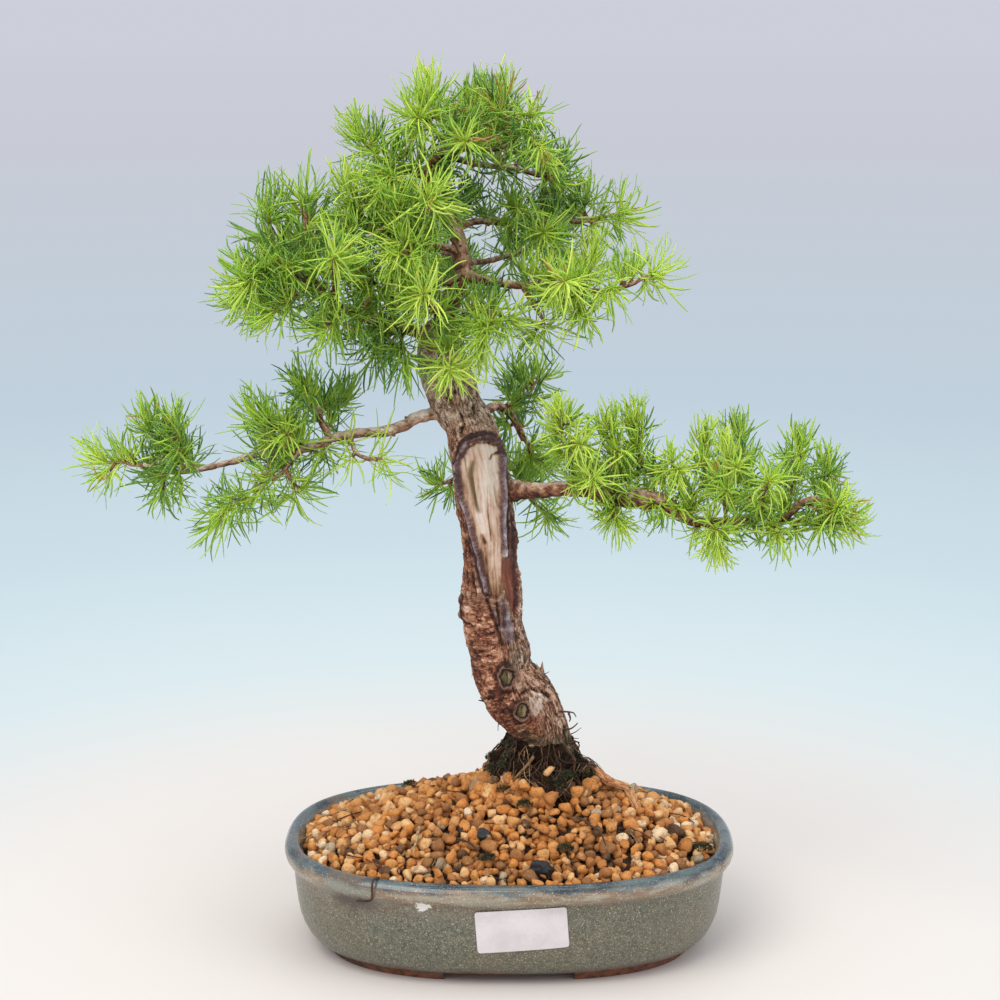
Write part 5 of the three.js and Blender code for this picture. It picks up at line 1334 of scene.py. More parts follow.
# Where a limb is thicker: the share of its length, how far this reaches, and by how much
swellings = {"lowRight": [(0.06, 0.05, 1.4), (0.46, 0.15, 2.3)], "surfaceRoot": [(0.55, 0.4, 0.5)],
             "left": [(0.1, 0.2, 0.4)]}
routes = {}


def limbRoute(name):
    if name not in routes:
        start, _, route = limbs[name]
        routes[name] = smoothRoute(route, step=1.2 if start > 3 else 1.5)
    return routes[name]


def addLimb(wood, name):
    start, end, _ = limbs[name]
    route = limbRoute(name)
    thick = start > 3
    sides = 22 if thick else 12
    share = np.linspace(0, 1, len(route))
    radii = start + (end - start) * share ** 0.8
    for at, wide, extra in swellings.get(name, ()):
        radii = radii + extra * hump(share, at, wide)
    wiggle = np.stack([softNoise(route[:, :3] + 31 * k, 16, 80 + k, 2) for k in range(3)], axis=-1)
    route = route + wiggle * 0.5 * smoothStep(share, 0, 0.15)[:, None]
    isRoot = name == "surfaceRoot"
    isStub = name.endswith("Stub")
    around = np.arange(sides) / sides * 2 * math.pi
    length = share * np.sum(np.linalg.norm(np.diff(route[:, :3], axis=0), axis=1))
    flow = np.stack(np.broadcast_arrays(np.cos(around)[None] * start, np.sin(around)[None] * start,
                                        length[:, None]), axis=-1) + 17.0 * len(name)
    edge, plate = plates(flow * [1, 1, 0.6], 4.6 if thick else 3.2, 90)
    lumps = softNoise(flow, 8, 91, 3)
    crack = 1 - smoothStep(edge, 0.0, 0.16)
    relief = radii[:, None] * (0.11 * lumps + (0.03 if isRoot else 0.05) * (plate - 0.8 * crack))
    # Growth rings and old leaf scars swell the wood a little, and a collar spreads where it leaves
    rings = np.sin(length[:, None] * 2 * math.pi / 7.5 + 3.5 * softNoise(flow, 20, 93, 1))
    relief += 0.06 * radii[:, None] * rings
    if not isRoot and not isStub:
        relief += (hump(length, 0, start * 2.3) * start * 0.5)[:, None]
    points, faces, shape = tubeShape(route, radii, sides, relief, blunt=0.15 if isStub else 0.6)
    # The upper side is paler, painted light from above with painted shade beneath, and its bark is greyer
    body = points[:-2].reshape(len(route), sides, 3)
    up = unit(body - route[:, None, :3])[..., 2]
    tone = 0.49 + limbTones.get(name, 0) + 0.26 * (plate - 0.5) + 0.12 * lumps + 0.27 * up - 0.22 * crack
    tone += 0.06 * rings
    grey = limbGreys.get(name, 0.35) + 0.45 * up + 0.2 * softNoise(flow, 12, 94, 2)
    if isRoot:
        tone = tone * smoothStep(share, 0.22, 0.45)[:, None]
    cut = np.zeros(len(points))
    if isStub:
        cut[-2 - sides:] = 1
        cut[-2] = 0
    wood.add(points, faces, flow=shape + 17.0 * len(name), tone=np.append(tone.ravel(), [0.4, 0.5]),
             grey=np.append(grey.ravel(), [0.3, 0.3]), root=float(isRoot), cut=cut, young=0.0)


# A short knob with a domed tip that stands on a limb
def addKnob(wood, base, way, radius, height):
    route = np.array([base + way * height * share for share in (0, 0.4, 0.8, 1.0)])
    radii = radius * np.array([1.25, 0.95, 1.0, 0.55])
    points, faces, shape = tubeShape(route, radii, 6, blunt=0.5)
    wood.add(points, faces, flow=shape + base, tone=0.36, grey=0.2, **plainWood)


def sideways(first, other, index, turn):
    return first[index] * math.cos(turn) + other[index] * math.sin(turn)


def outwardWay(name, index, turn):
    along, first, other = routeFrames(limbRoute(name))
    return unit(sideways(first, other, index, turn) + along[index] * 0.35)


def makeLimbs():
    wood = Gather()
    for name in limbs:
        addLimb(wood, name)
        if name == "surfaceRoot" or name.endswith("Stub"):
            continue
        route = limbRoute(name)
        start, end, _ = limbs[name]
        for index in range(18, len(route) - 6, 14):
            index += int(chance.integers(-4, 5))
            turn = chance.uniform(0, 2 * math.pi)
            way = outwardWay(name, index, turn)
            reach = start + (end - start) * (index / len(route)) ** 0.8
            addKnob(wood, route[index, :3] + way * reach * 0.75, way, chance.uniform(0.9, 1.35),
                    chance.uniform(1.4, 2.8))
    return wood.piece("larchLimbs")


def paintLimbs(m, spot):
    bark = m.group(barkSkin, Flow=m.stored("flow", "Vector"), Tone=m.stored("tone"), Grey=m.stored("grey"),
                   Patchy=0.55)
    spots = m.noise(spot, 260, 3)
    pink = m.mix(m.band(bark["Fibres"], 0.4, 0.6), rgb(160, 98, 56), rgb(212, 158, 108))
    pink = m.mix(m.band(spots, 0.58, 0.66), pink, rgb(84, 46, 34))
    pink = m.mix(m.band(m.stored("tone"), 0.3, 0.05), pink, rgb(46, 30, 20))
    colour = m.mix(m.stored("root"), bark["Color"], pink)
    green = m.mix(m.band(spots, 0.4, 0.6), rgb(134, 142, 56), rgb(172, 176, 88))
    colour = m.mix(m.stored("young"), colour, green)
    sawn = m.mix(m.band(m.noise(spot, 900, 3), 0.4, 0.6), rgb(196, 172, 142), rgb(140, 112, 88))
    colour = m.mix(m.stored("cut"), colour, sawn)
    return {"Base Color": colour, "Roughness": m.band(bark["Fibres"], 0.3, 0.7, 0.88, 0.72),
            "Normal": m.bump(bark["Height"], 0.0005, 0.7)}


limbPaint = newPaint("limbBark", paintLimbs)
finishPiece(makeLimbs(), limbPaint, "bark", "tree_wood")
print("limbs made")


# The needles. A spray is one or more shoots: a twig from its limb to its hearts, where the needles fan out.

# Bright is painted light and shade as well as the needles' age, from 0 for the deep shade inside to 1 for lit
# young tips. Where it isn't set it goes by depth, darker further back. Reach is how long the needles are and
# full how many there are, against the usual. Dry is the share of brown ones
sprays = {
    "crown_tip": {"limb": "tipTwig", "bright": 0.8, "shoots": [[[-46, -12, 493], [-45, -12, 498]],
        [[-50, -24, 488]]]},
    "crown_mid": {"limb": "apex", "bright": 0.65, "reach": 0.92, "full": 0.8, "dry": 0.05,
        "shoots": [[[-24, -8, 481], [-20, 0, 494]], [[-24, -32, 476]]]},
    "crown_right": {"limb": "apex", "bright": 0.6, "dry": 0.16,
        "shoots": [[[-5, -12, 485], [-4, -10, 497]]]},
    "crown_end": {"limb": "apex", "bright": 0.6, "reach": 0.78, "dry": 0.1, "shoots": [[[12, -20, 489]],
        [[12, -26, 477], [18, -30, 469]]]},
    "crown_low": {"limb": "apexLow", "bright": 0.4, "dry": 0.03, "shoots": [[[26, 18, 450]],
        [[24, 32, 458]]]},
    "crown_back": {"limb": "apexBack", "shoots": [[[-7, 60, 486]], [[-18, 62, 483]]]},
    "upper_right_inner": {"limb": "upperRight", "reach": 0.88, "shoots": [[[5, 2, 436]], [[19, -4, 423]]]},
    "upper_right_tip": {"limb": "upperRight", "bright": 0.6, "reach": 0.92, "shoots": [[[63, 26, 430]],
        [[42, 30, 436]]]},
    "leader_side": {"limb": "leader", "bright": 0.2, "reach": 0.8, "full": 0.7,
        "shoots": [[[-26, 10, 434], [-23, 14, 441]]]},
    "upper_left_tip": {"limb": "upperLeft", "bright": 0.6, "shoots": [[[-77, -4, 469], [-82, -4, 475]]]},
    "upper_left_front": {"limb": "upperLeft", "bright": 0.75,
        "shoots": [[[-66, -22, 457], [-69, -30, 452]]]},
    "leader_front": {"limb": "leaderFront", "bright": 0.85, "shoots": [[[-45, -46, 447]]]},
    "mid_left_tip": {"limb": "midLeft", "shoots": [[[-85, -28, 439], [-87, -30, 449]], [[-91, -42, 426]]]},
    "mid_left_top": {"limb": "midLeft", "bright": 0.6, "shoots": [[[-62, -34, 433], [-62, -42, 442]]]},
    "mid_left_front": {"limb": "midLeft", "bright": 0.85, "shoots": [[[-54, -36, 419], [-61, -50, 417]]]},
    "centre_left": {"limb": "centreLeft", "bright": 0.7, "shoots": [[[-77, -28, 400], [-82, -36, 406]],
        [[-78, -28, 385]], [[-56, -36, 406]]]},
    "left_tip": {"limb": "left", "bright": 0.6, "shoots": [[[-138, -50, 407], [-142, -55, 402]],
        [[-141, -28, 397], [-148, -24, 389]]]},
    "left_back": {"limb": "leftBack", "bright": 0.5, "shoots": [[[-133, -34, 437]]]},
    "left_high": {"limb": "leftHigh", "bright": 0.55, "shoots": [[[-113, -34, 444]]]},
    "left_front": {"limb": "leftFront", "bright": 0.7, "shoots": [[[-95, -69, 417]]]},
    "left_low": {"limb": "left", "bright": 0.65, "shoots": [[[-121, -50, 391], [-129, -56, 386]],
        [[-120, -14, 407], [-124, 0, 415]]]},
    "left_drop": {"limb": "left", "bright": 0.6, "full": 0.8,
        "shoots": [[[-97, -46, 379], [-101, -54, 374]]]},
    "front_star": {"limb": "frontStar", "bright": 1.0, "shoots": [[[-47, -58, 396]]]},
    "front_drop": {"limb": "frontDrop", "bright": 1.0, "reach": 0.82, "shoots": [[[-33, -56, 355]]]},
    "front_right": {"limb": "frontRight", "bright": 0.75, "shoots": [[[0, -30, 377]],
        [[-13, -40, 375], [-15, -46, 368]]]},
    "front_left": {"limb": "frontLeft", "bright": 0.3, "full": 0.8,
        "shoots": [[[-77, -3, 361], [-76, -2, 353]], [[-60, -26, 361], [-58, -32, 355]]]},
    "mid_right_drop": {"limb": "midRightDrop", "bright": 0.4, "full": 0.8, "shoots": [[[20, -17, 372]]]},
    "mid_right_star": {"limb": "midRight", "bright": 0.95, "reach": 0.9, "shoots": [[[30, -40, 400]],
        [[44, -8, 401], [46, -4, 408]], [[38, -26, 382]]]},
    "mid_right_tip": {"limb": "midRight", "bright": 0.85, "reach": 0.95, "shoots": [[[80, -18, 401]]]},
    "rear_left": {"limb": "rearLeft", "shoots": [[[-78, 84, 425]], [[-62, 66, 428]]]},
    "rear_mid": {"limb": "rearMid", "shoots": [[[-36, 96, 395]], [[-22, 84, 380]]]},
    "rear_right": {"limb": "rearRight", "shoots": [[[26, 68, 412]]]},
    "low_left_inner": {"limb": "lowLeftStub", "bright": 0.45, "reach": 0.9,
        "shoots": [[[-112, -18, 331], [-116, -22, 338]], [[-103, 2, 322], [-97, 10, 326]]]},
    "low_left_bright": {"limb": "lowLeft", "bright": 0.7, "shoots": [[[-125, -28, 313], [-140, -26, 320]]]},
    "low_left_hang": {"limb": "lowLeftHang", "bright": 0.55, "full": 0.85,
        "shoots": [[[-134, -30, 287], [-150, -34, 278], [-163, -38, 266]], [[-122, -22, 277]]]},
    "low_left_shoot": {"limb": "lowLeftShoot", "bright": 0.8, "full": 0.4, "shoots": [[[-72, -28, 298]]]},
    "low_left_outer": {"limb": "lowLeft", "bright": 0.5, "reach": 0.92, "dry": 0.04,
        "shoots": [[[-199, -18, 301], [-203, -18, 314]], [[-199, -10, 280]]]},
    "low_left_rise": {"limb": "lowLeft", "bright": 0.4, "reach": 0.95,
        "shoots": [[[-185, -28, 303], [-187, -33, 316]]]},
    "low_left_tip": {"limb": "lowLeft", "bright": 0.75, "full": 0.85,
        "shoots": [[[-219, -24, 295], [-228, -25, 295]]]},
    "low_right_stars": {"limb": "lowRightStars", "bright": 0.95, "reach": 0.72,
        "shoots": [[[29, -42, 319], [28, -46, 327]], [[38, -54, 312]]]},
    "low_right_front": {"limb": "lowRight", "bright": 0.85, "reach": 0.76, "shoots": [[[46, -58, 293]],
        [[59, -36, 271], [61, -38, 265]]]},
    "low_right_rise": {"limb": "lowRightRise", "bright": 0.75, "reach": 0.78,
        "shoots": [[[60, -34, 303], [56, -38, 317]], [[73, -22, 304], [71, -24, 318]]]},
    "low_right_mid": {"limb": "lowRightRise", "bright": 0.9, "reach": 0.74, "shoots": [[[94, -44, 295]]]},
    "low_right_high": {"limb": "lowRight", "bright": 0.7, "reach": 0.78,
        "shoots": [[[110, -28, 286], [110, -24, 306]]]},
    "low_right_bright": {"limb": "lowRight", "bright": 0.85, "reach": 0.76,
        "shoots": [[[122, -48, 284], [121, -50, 304]], [[115, -52, 262], [116, -53, 255]]]},
    "low_right_back": {"limb": "lowRight", "reach": 0.8, "shoots": [[[133, -8, 287], [132, 0, 305]]]},
    "low_right_outer": {"limb": "lowRight", "bright": 0.8, "reach": 0.78, "shoots": [[[144, -52, 290]],
        [[151, -44, 259]]]},
    "low_right_stub": {"limb": "lowRight", "bright": 0.6, "reach": 0.82, "dry": 0.03,
        "shoots": [[[163, -26, 290], [164, -26, 304]], [[179, -16, 277], [180, -12, 288]]]},
    "low_right_tip": {"limb": "lowRight", "bright": 0.8, "reach": 0.86, "dry": 0.03,
        "shoots": [[[182, -31, 261], [190, -32, 261]], [[184, -43, 273]]]},
    "rear_limb_up": {"limb": "rearLimbUp", "bright": 0.55, "reach": 0.8, "shoots": [[[18, 60, 328]],
        [[5, 66, 327]]]},
    "rear_limb_end": {"limb": "rearLimb", "bright": 0.65, "reach": 0.8,
        "shoots": [[[12, 48, 286], [20, 52, 279]]]},
    "rear_branch_left": {"limb": "rearBranchLeft", "bright": 0.65, "reach": 0.85,
        "shoots": [[[-43, 93, 256]]]},
    "rear_branch_right": {"limb": "rearBranchRight", "bright": 0.65, "reach": 0.9,
        "shoots": [[[23, 84, 239]], [[4, 82, 268]]]},
}

usualDry = 0.008
goldenTurn = 2.39996
needle = {"width": 1.18, "flat": 0.55, "shares": [0.0, 0.22, 0.5, 0.76, 0.95],
          "thick": [0.6, 1.0, 1.0, 0.9, 0.6]}


class NeedleBatch:
    def __init__(self, plan):
        self.rows = []
        self.reach = plan.get("reach", 1.04)
        self.fullness = plan.get("full", 1.0)

    # lift is how far a needle turns up along its length. Below zero it droops
    def addNeedle(self, base, aim, bend, length, bright, dry, lift):
        isDry = chance.uniform() < dry
        aim = unit(aim + chance.normal(size=3) * 0.1)
        rise = (np.array([0, 0, 1.0]) - aim * aim[2]) * (lift + chance.normal() * 0.3)
        bend = bend + rise * 0.8 + chance.normal(size=3) * 0.24
        curl = rise * 0.42 + chance.normal(size=3) * 0.18 - bend * chance.uniform(-0.2, 0.25)
        if isDry:
            bend = bend + chance.normal(size=3) * 0.5
            length *= 0.85
        steps = np.array([[t, t ** 2, t ** 3] for t in (0, 0.33, 0.67, 1)]) @ np.array([aim, bend, curl])
        length *= self.reach / float(np.linalg.norm(np.diff(steps, axis=0), axis=1).sum())
        self.rows.append([*base, *aim, *bend, *curl, length, bright + chance.normal() * 0.18, float(isDry),
                          chance.uniform(0.82, 1.12), chance.uniform(0, 3.1)])

    # One tuft round a middle. lean is how far its needles turn from the way it faces, in degrees, and cup
    # how much they arch forward again
    def tuft(self, middle, way, count, lean, lengths, bright, dry, cup):
        way = unit(way)
        side = unit(np.cross(way, [0.31, 0.17, 0.93]))
        other = np.cross(way, side)
        start = chance.uniform(0, 6.3)
        bright = bright + chance.normal() * 0.06
        # Tufts that face the front spread like an umbrella, and the others reach up
        lift = 0.52 + 0.85 * min(way[1], 0) + chance.normal() * 0.1
        count = max(5, round(count * self.fullness))
        for k in range(count):
            turn = start + k * goldenTurn + chance.normal() * 0.55
            share = (k + chance.uniform(0.1, 0.9)) / count
            angle = math.radians(lean[0] + (lean[1] - lean[0]) * share ** 0.75 + chance.normal() * 11)
            out = side * math.cos(turn) + other * math.sin(turn)
            aim = way * math.cos(angle) + out * math.sin(angle)
            length = chance.uniform(*lengths) * (0.86 + 0.2 * math.sin(min(angle, 1.5)))
            forward = way * math.sin(angle) - out * math.cos(angle)
            base = middle + out * 0.8 + way * ((1 - share) * 3.2 - 1.0)
            self.addNeedle(base, aim, forward * (cup + chance.normal() * 0.17), length, bright, dry, lift)

    # Single needles that stand in a spiral round a shoot and arch forward
    def brush(self, route, pitch, lean, lengths, bright, dry, arch):
        along, first, other = routeFrames(route)
        count = int(np.linalg.norm(np.diff(route[:, :3], axis=0), axis=1).sum() / pitch * self.fullness)
        start = chance.uniform(0, 6.3)
        for k in range(count):
            index = min(int((k + chance.uniform(0, 1)) / count * len(route)), len(route) - 1)
            turn = start + k * goldenTurn + chance.normal() * 0.4
            angle = math.radians(chance.uniform(*lean))
            out = sideways(first, other, index, turn)
            aim = along[index] * math.cos(angle) + out * math.sin(angle)
            bend = (along[index] * math.sin(angle) - out * math.cos(angle)) * chance.uniform(*arch)
            length = chance.uniform(*lengths)
            self.addNeedle(route[index, :3] + out * 0.7, aim, bend, length, bright, dry, lift=0.3)

    def piece(self, name):
        rows = np.array(self.rows)
        base, aim, bend, curl = rows[:, 0:3], unit(rows[:, 3:6]), rows[:, 6:9], rows[:, 9:12]
        length, bright, dry, stout, roll = rows[:, 12:].T
        shares, thick = np.array(needle["shares"]), np.array(needle["thick"])
        across = unit(np.cross(aim, bend + [1e-4, 2e-4, 1e-4]))
        step = shares[None, :, None]
        reach = length[:, None, None]
        middle = base[:, None] + (aim[:, None] * step + bend[:, None] * step ** 2
                                  + curl[:, None] * step ** 3) * reach
        tangent = unit(aim[:, None] + 2 * bend[:, None] * step + 3 * curl[:, None] * step ** 2)
        side = np.broadcast_to(across[:, None], tangent.shape)
        normal = np.cross(tangent, side)
        wide = side * np.cos(roll)[:, None, None] + normal * np.sin(roll)[:, None, None]
        deep = normal * np.cos(roll)[:, None, None] - side * np.sin(roll)[:, None, None]
        half = needle["width"] / 2 * stout[:, None, None] * thick[None, :, None]
        low = needle["flat"] * half
        corners = [middle + wide * half - deep * low * 0.5, middle + deep * low,
                   middle - wide * half - deep * low * 0.5]
        shell = np.stack(corners, axis=2).reshape(len(rows), -1, 3)
        root = base[:, None] - aim[:, None] * 0.5
        tip = base[:, None] + (aim + bend + curl)[:, None] * reach
        points = np.concatenate([shell, root, tip], axis=1)
        size = points.shape[1]
        pattern = ringFaces(len(shares), 3)
        faces = [tuple(i + k * size for i in face) for k in range(len(rows)) for face in pattern]
        along = np.r_[np.repeat(shares, 3), 0, 1]
        values = {"along": np.tile(along, len(rows)), "bright": np.repeat(bright, size),
                  "dry": np.repeat(dry, size)}
        return newPiece(name, points.reshape(-1, 3), faces, values=values)


# The shoot's route from its limb through its hearts, leaving the limb in a gentle bow
def shootRoute(limbName, hearts):
    route = limbRoute(limbName)
    hearts = np.array(hearts, float)
    reach = np.linalg.norm(route[:, :3] - hearts[0], axis=1)
    reach = reach + np.linspace(1, 0, len(route)) * 6
    seat = route[int(np.argmin(reach)), :3]
    gap = hearts[0] - seat
    bow = seat + gap * 0.5 + unit(np.cross(gap, [0.2, 1, 0.4])) * np.linalg.norm(gap) * 0.07
    return smoothRoute([seat, bow, *hearts], step=1.0)


def growSpray(plan, twigs):
    batch = NeedleBatch(plan)
    dry = plan.get("dry", usualDry)
    for hearts in plan["shoots"]:
        route = shootRoute(plan["limb"], hearts)
        depth = float(np.mean([heart[1] for heart in hearts]))
        # Painted shade: a spray without its own bright is darker the further back it stands
        bright = plan.get("bright", float(np.interp(depth, [-40, 0, 60], [0.75, 0.5, 0.4])))
        total = len(route)
        radii = np.linspace(1.15, 0.7, total)
        points, faces, shape = tubeShape(route, radii, 6)
        isYoung = np.append(np.repeat(smoothStep(np.linspace(0, 1, total), 0.45, 0.8), 6), [0, 1])
        twigs.add(points, faces, flow=shape + hearts[0][0], tone=0.5, grey=0.3, root=0.0, cut=0.0,
                  young=isYoung * (len(hearts) > 1))
        along, first, other = routeFrames(route)
        # Tufts on short spurs along the shoot, then single needles, then the fan at each heart
        # Spur tufts, further in, are painted a little darker than the spray: painted shade
        for index in range(max(4, total // 6), total - 3, 6):
            turn = chance.uniform(0, 6.3)
            out = unit(sideways(first, other, index, turn) + along[index] * 0.5)
            spur = chance.uniform(1.6, 2.6) if index < total * 0.5 else chance.uniform(2.5, 7)
            addKnob(twigs, route[index, :3] + out * 0.4, out, 0.85, spur)
            batch.tuft(route[index, :3] + out * (spur + 0.4), out, int(chance.integers(16, 23)), (8, 88),
                       (14, 23), bright * chance.uniform(0.7, 0.95), dry, cup=chance.uniform(0.0, 0.4))
        batch.brush(route[total // 3:], 0.95, (45, 85), (18, 26), bright * 0.95, dry, arch=(0.1, 0.7))
        for k, heart in enumerate(np.array(hearts, float)):
            index = int(np.argmin(np.linalg.norm(route[:, :3] - heart, axis=1)))
            if k < len(hearts) - 1:
                way = along[index] + unit(sideways(first, other, index, k * 2.4)) * 1.2
                batch.tuft(heart, way, 24, (8, 95), (19, 27), bright * 0.95, dry, cup=0.25)
            elif len(hearts) > 1:
                batch.tuft(heart, along[index], 28, (4, 68), (17, 27), bright + 0.12, dry, cup=0.3)
            else:
                way = along[index] + chance.normal(size=3) * 0.25
                batch.tuft(heart, way, 31, (5, 104), (19, 29), bright + 0.06, dry, cup=0.05)
    return batch


# From which share of its length a limb carries tufts, and between which shares one has none
firstTuft = {"leader": 0.62, "lowLeft": 0.42, "lowRight": 0.28, "left": 0.3, "midRight": 0.25,
             "rearBranch": 0.5, "rearLimb": 0.5}
bareStretch = {"lowLeft": (0.62, 0.84)}


# Tufts on the outer part of the limbs belong to the spray whose hearts are nearest
def limbTufts(batches, twigs):
    for name in limbs:
        owners = [(node, heart) for node, plan in sprays.items() if plan["limb"] == name
                  for shoot in plan["shoots"] for heart in shoot[:1]]
        if not owners:
            continue
        route = limbRoute(name)
        step = float(np.linalg.norm(route[1, :3] - route[0, :3]))
        at = len(route) * firstTuft.get(name, 0.25)
        bareFrom, bareTo = bareStretch.get(name, (1, 1))
        while at < len(route) - 1:
            if bareFrom < at / len(route) < bareTo:
                at = len(route) * bareTo
            index = int(at)
            spot = route[index, :3]
            node, heart = min(owners, key=lambda owner: np.linalg.norm(spot - owner[1]))
            if np.linalg.norm(spot - heart) < 40:
                way = outwardWay(name, index, chance.uniform(0, 6.3)) + [0, -0.25, 0.35]
                radius = limbs[name][1] + 0.6
                addKnob(twigs, spot + unit(way) * radius * 0.7, unit(way), 1.15, 2.4)
                # Tufts along the limb are painted darker than their spray: painted shade inside the tree,
                # partly older needles
                bright = sprays[node].get("bright", 0.4) * chance.uniform(0.5, 0.95)
                dry = sprays[node].get("dry", usualDry)
                batches[node].tuft(spot + unit(way) * (radius + 2), way, int(chance.integers(20, 28)),
                                   (8, 92), (17, 25), bright, dry, cup=chance.uniform(-0.05, 0.4))
            at += chance.uniform(5.5, 8.0) / step


def paintNeedles(m, spot):
    bright, along = m.stored("bright"), m.stored("along")
    patches = m.noise(spot, 60, 3, 0.6)
    fine = m.noise(spot, 900, 2, 0.6)
    tone = m.sum(bright, m.sway(patches, 0.55))
    # Painted light: needles are lighter and yellower at the base, where light shines through a tuft's crowded
    # middle, and darker towards the tip
    tone = m.sum(tone, m.band(along, 0.1, 1.0, 0.22, -0.16))
    colour = m.ramp(tone, (0.0, 54, 92, 50), (0.25, 110, 152, 64), (0.5, 156, 194, 72),
                    (0.78, 184, 214, 74), (1.0, 206, 230, 98))
    colour = m.mix(m.band(along, 0.34, 0.02, 0.0, 0.5), colour, rgb(198, 220, 76))
    colour = m.mix(m.band(along, 0.93, 1.0, 0.0, 0.35), colour, rgb(170, 158, 84))
    colour = m.wash(colour, fine, 0.5, 0.66, 0.15, 206, 220, 130)
    dried = m.mix(m.band(along, 0.1, 0.9), rgb(206, 176, 92), rgb(176, 118, 72))
    colour = m.mix(m.stored("dry"), colour, dried)
    return {"Base Color": colour, "Roughness": m.band(fine, 0.3, 0.7, 0.38, 0.52),
            "Subsurface Weight": 0.35, "Subsurface Radius": (0.5, 0.9, 0.2), "Subsurface Scale": 0.0012,
            "Normal": m.bump(fine, 0.00015, 0.3)}


needlePaint = newPaint("larchNeedles", paintNeedles, shine=0.35)
twigs = Gather()
batches = {node: growSpray(plan, twigs) for node, plan in sprays.items()}
limbTufts(batches, twigs)
for node, batch in batches.items():
    finishPiece(batch.piece("needles_" + node), needlePaint, "needles", node)
finishPiece(twigs.piece("larchTwigs"), limbPaint, "bark")
print("needles made:", sum(len(batch.rows) for batch in batches.values()))


# Small things that lie about: fallen needles, thin roots on the grains, a dead twig over the lip and a stalk

litterRoots = [[(-78, -60, 70), (-74, -67, 71), (-72, -76, 68)],
               [(44, -42, 86), (52, -50, 83), (55, -60, 79)],
               [(-30, -52, 80), (-22, -58, 79), (-17, -66, 76)],
               [(-74, -79, 66.6), (-77, -84.2, 66.8), (-77.6, -86.4, 61), (-77.6, -84, 56),
                (-80, -79.6, 52.5), (-87, -76.2, 51.5)]]
stalk = [(-52, -40, 82.5), (-53.4, -50, 79.5), (-54.8, -61, 75)]


def makeLitter():
    litter = Gather()
    for _ in range(70):
        x, y = chance.uniform(-118, 118), chance.uniform(-82, 82)
        if ovalShare(x, y, 16) > 1 or np.hypot(x - 18, y - 12) < 30:
            continue
        z = float(soilHeight(np.array(x), np.array(y))) + 3.4
        turn, length = chance.uniform(0, 6.3), chance.uniform(7, 19)
        farX, farY = x + math.cos(turn) * length, y + math.sin(turn) * length
        start, end = np.array([x, y, z]), np.array([farX, farY, float(soilHeight(farX, farY)) + 3.8])
        bend = (start + end) / 2 + chance.normal(size=3) * [1.4, 1.4, 0.2]
        route = smoothRoute([start, bend, end], count=7)
        litter.thread(route, 0.42, 0.28, 5, tint=chance.uniform(0.2, 1))
    for steps in litterRoots:
        litter.thread(smoothRoute(steps, step=2), 0.8, 0.4, 6, tint=0.3)
    litter.thread(smoothRoute(stalk, step=2), 1.1, 0.6, 6, tint=1.0)
    return litter.piece("fallenNeedles")


finishPiece(makeLitter(), newPaint("fallenNeedles", paintRootlets), "needles")


def makeCharcoal():
    coal = Gather()
    shapes, faces = makeNuggets(2, levels=3)
    for shape, x, y, size in ((shapes[0], 18, -73, 1), (shapes[1], -14.5, -47, 0.6)):
        at = turned(shape * [6.6, 5, 6.6], (0.4, 0.9, 0.3)) * size + [x, y, float(soilHeight(x, y)) + 3.2]
        at += unit(at - at.mean(axis=0)) * softNoise(at, 2.6, 44, 2)[:, None] * 0.5
        coal.add(at, faces)
    return coal.piece("charcoal", smooth=False)


def paintCharcoal(m, spot):
    fine = m.noise(spot, 700, 4, 0.65)
    return {"Base Color": m.mix(m.band(fine, 0.4, 0.7), rgb(12, 11, 11), rgb(44, 42, 42)),
            "Roughness": m.band(fine, 0.3, 0.7, 0.35, 0.8), "Normal": m.bump(fine, 0.0005, 0.6)}


finishPiece(makeCharcoal(), newPaint("charcoal", paintCharcoal), "baked_clay")


# A place on the trunk: height of its middle line, angle from the front, and how far in from the surface
def trunkSpot(z, turn, inset):
    rows = np.array(trunk["route"], float)
    low, high = (np.array([np.interp(z + step, rows[:, 2], column) for column in rows.T]) for step in (-3, 3))
    along = unit((high - low)[:3])
    right = unit(np.cross([0, 1, 0], along))
    outward = right * math.sin(turn) - np.cross(along, right) * math.cos(turn)
    return (low + high)[:3] / 2 + outward * ((low + high)[3] / 2 - inset)


# Dead twiglets at the right foot of the trunk, and at its left
twiglets = [[(30, 2, 139), (35, 0, 139.4), (38, -1, 139), (39.4, -1, 136.6)],
            [(35, 0, 138.8), (36, -2, 136), (35.4, -3, 134.4)],
            [(31, 2, 128), (36, 1, 128.6), (39, 0, 131), (40.4, 0, 132.6)],
            [(34, 3, 119), (38, 2, 119.6), (41, 1, 117.4)], [(37, 2, 119), (39.6, 0, 121), (41.6, 0, 120.4)],
            [(-11, 4, 143), (-15, 3, 145.4), (-17, 3, 147.6)], [(-14, 3, 145), (-18, 3, 145.6)]]
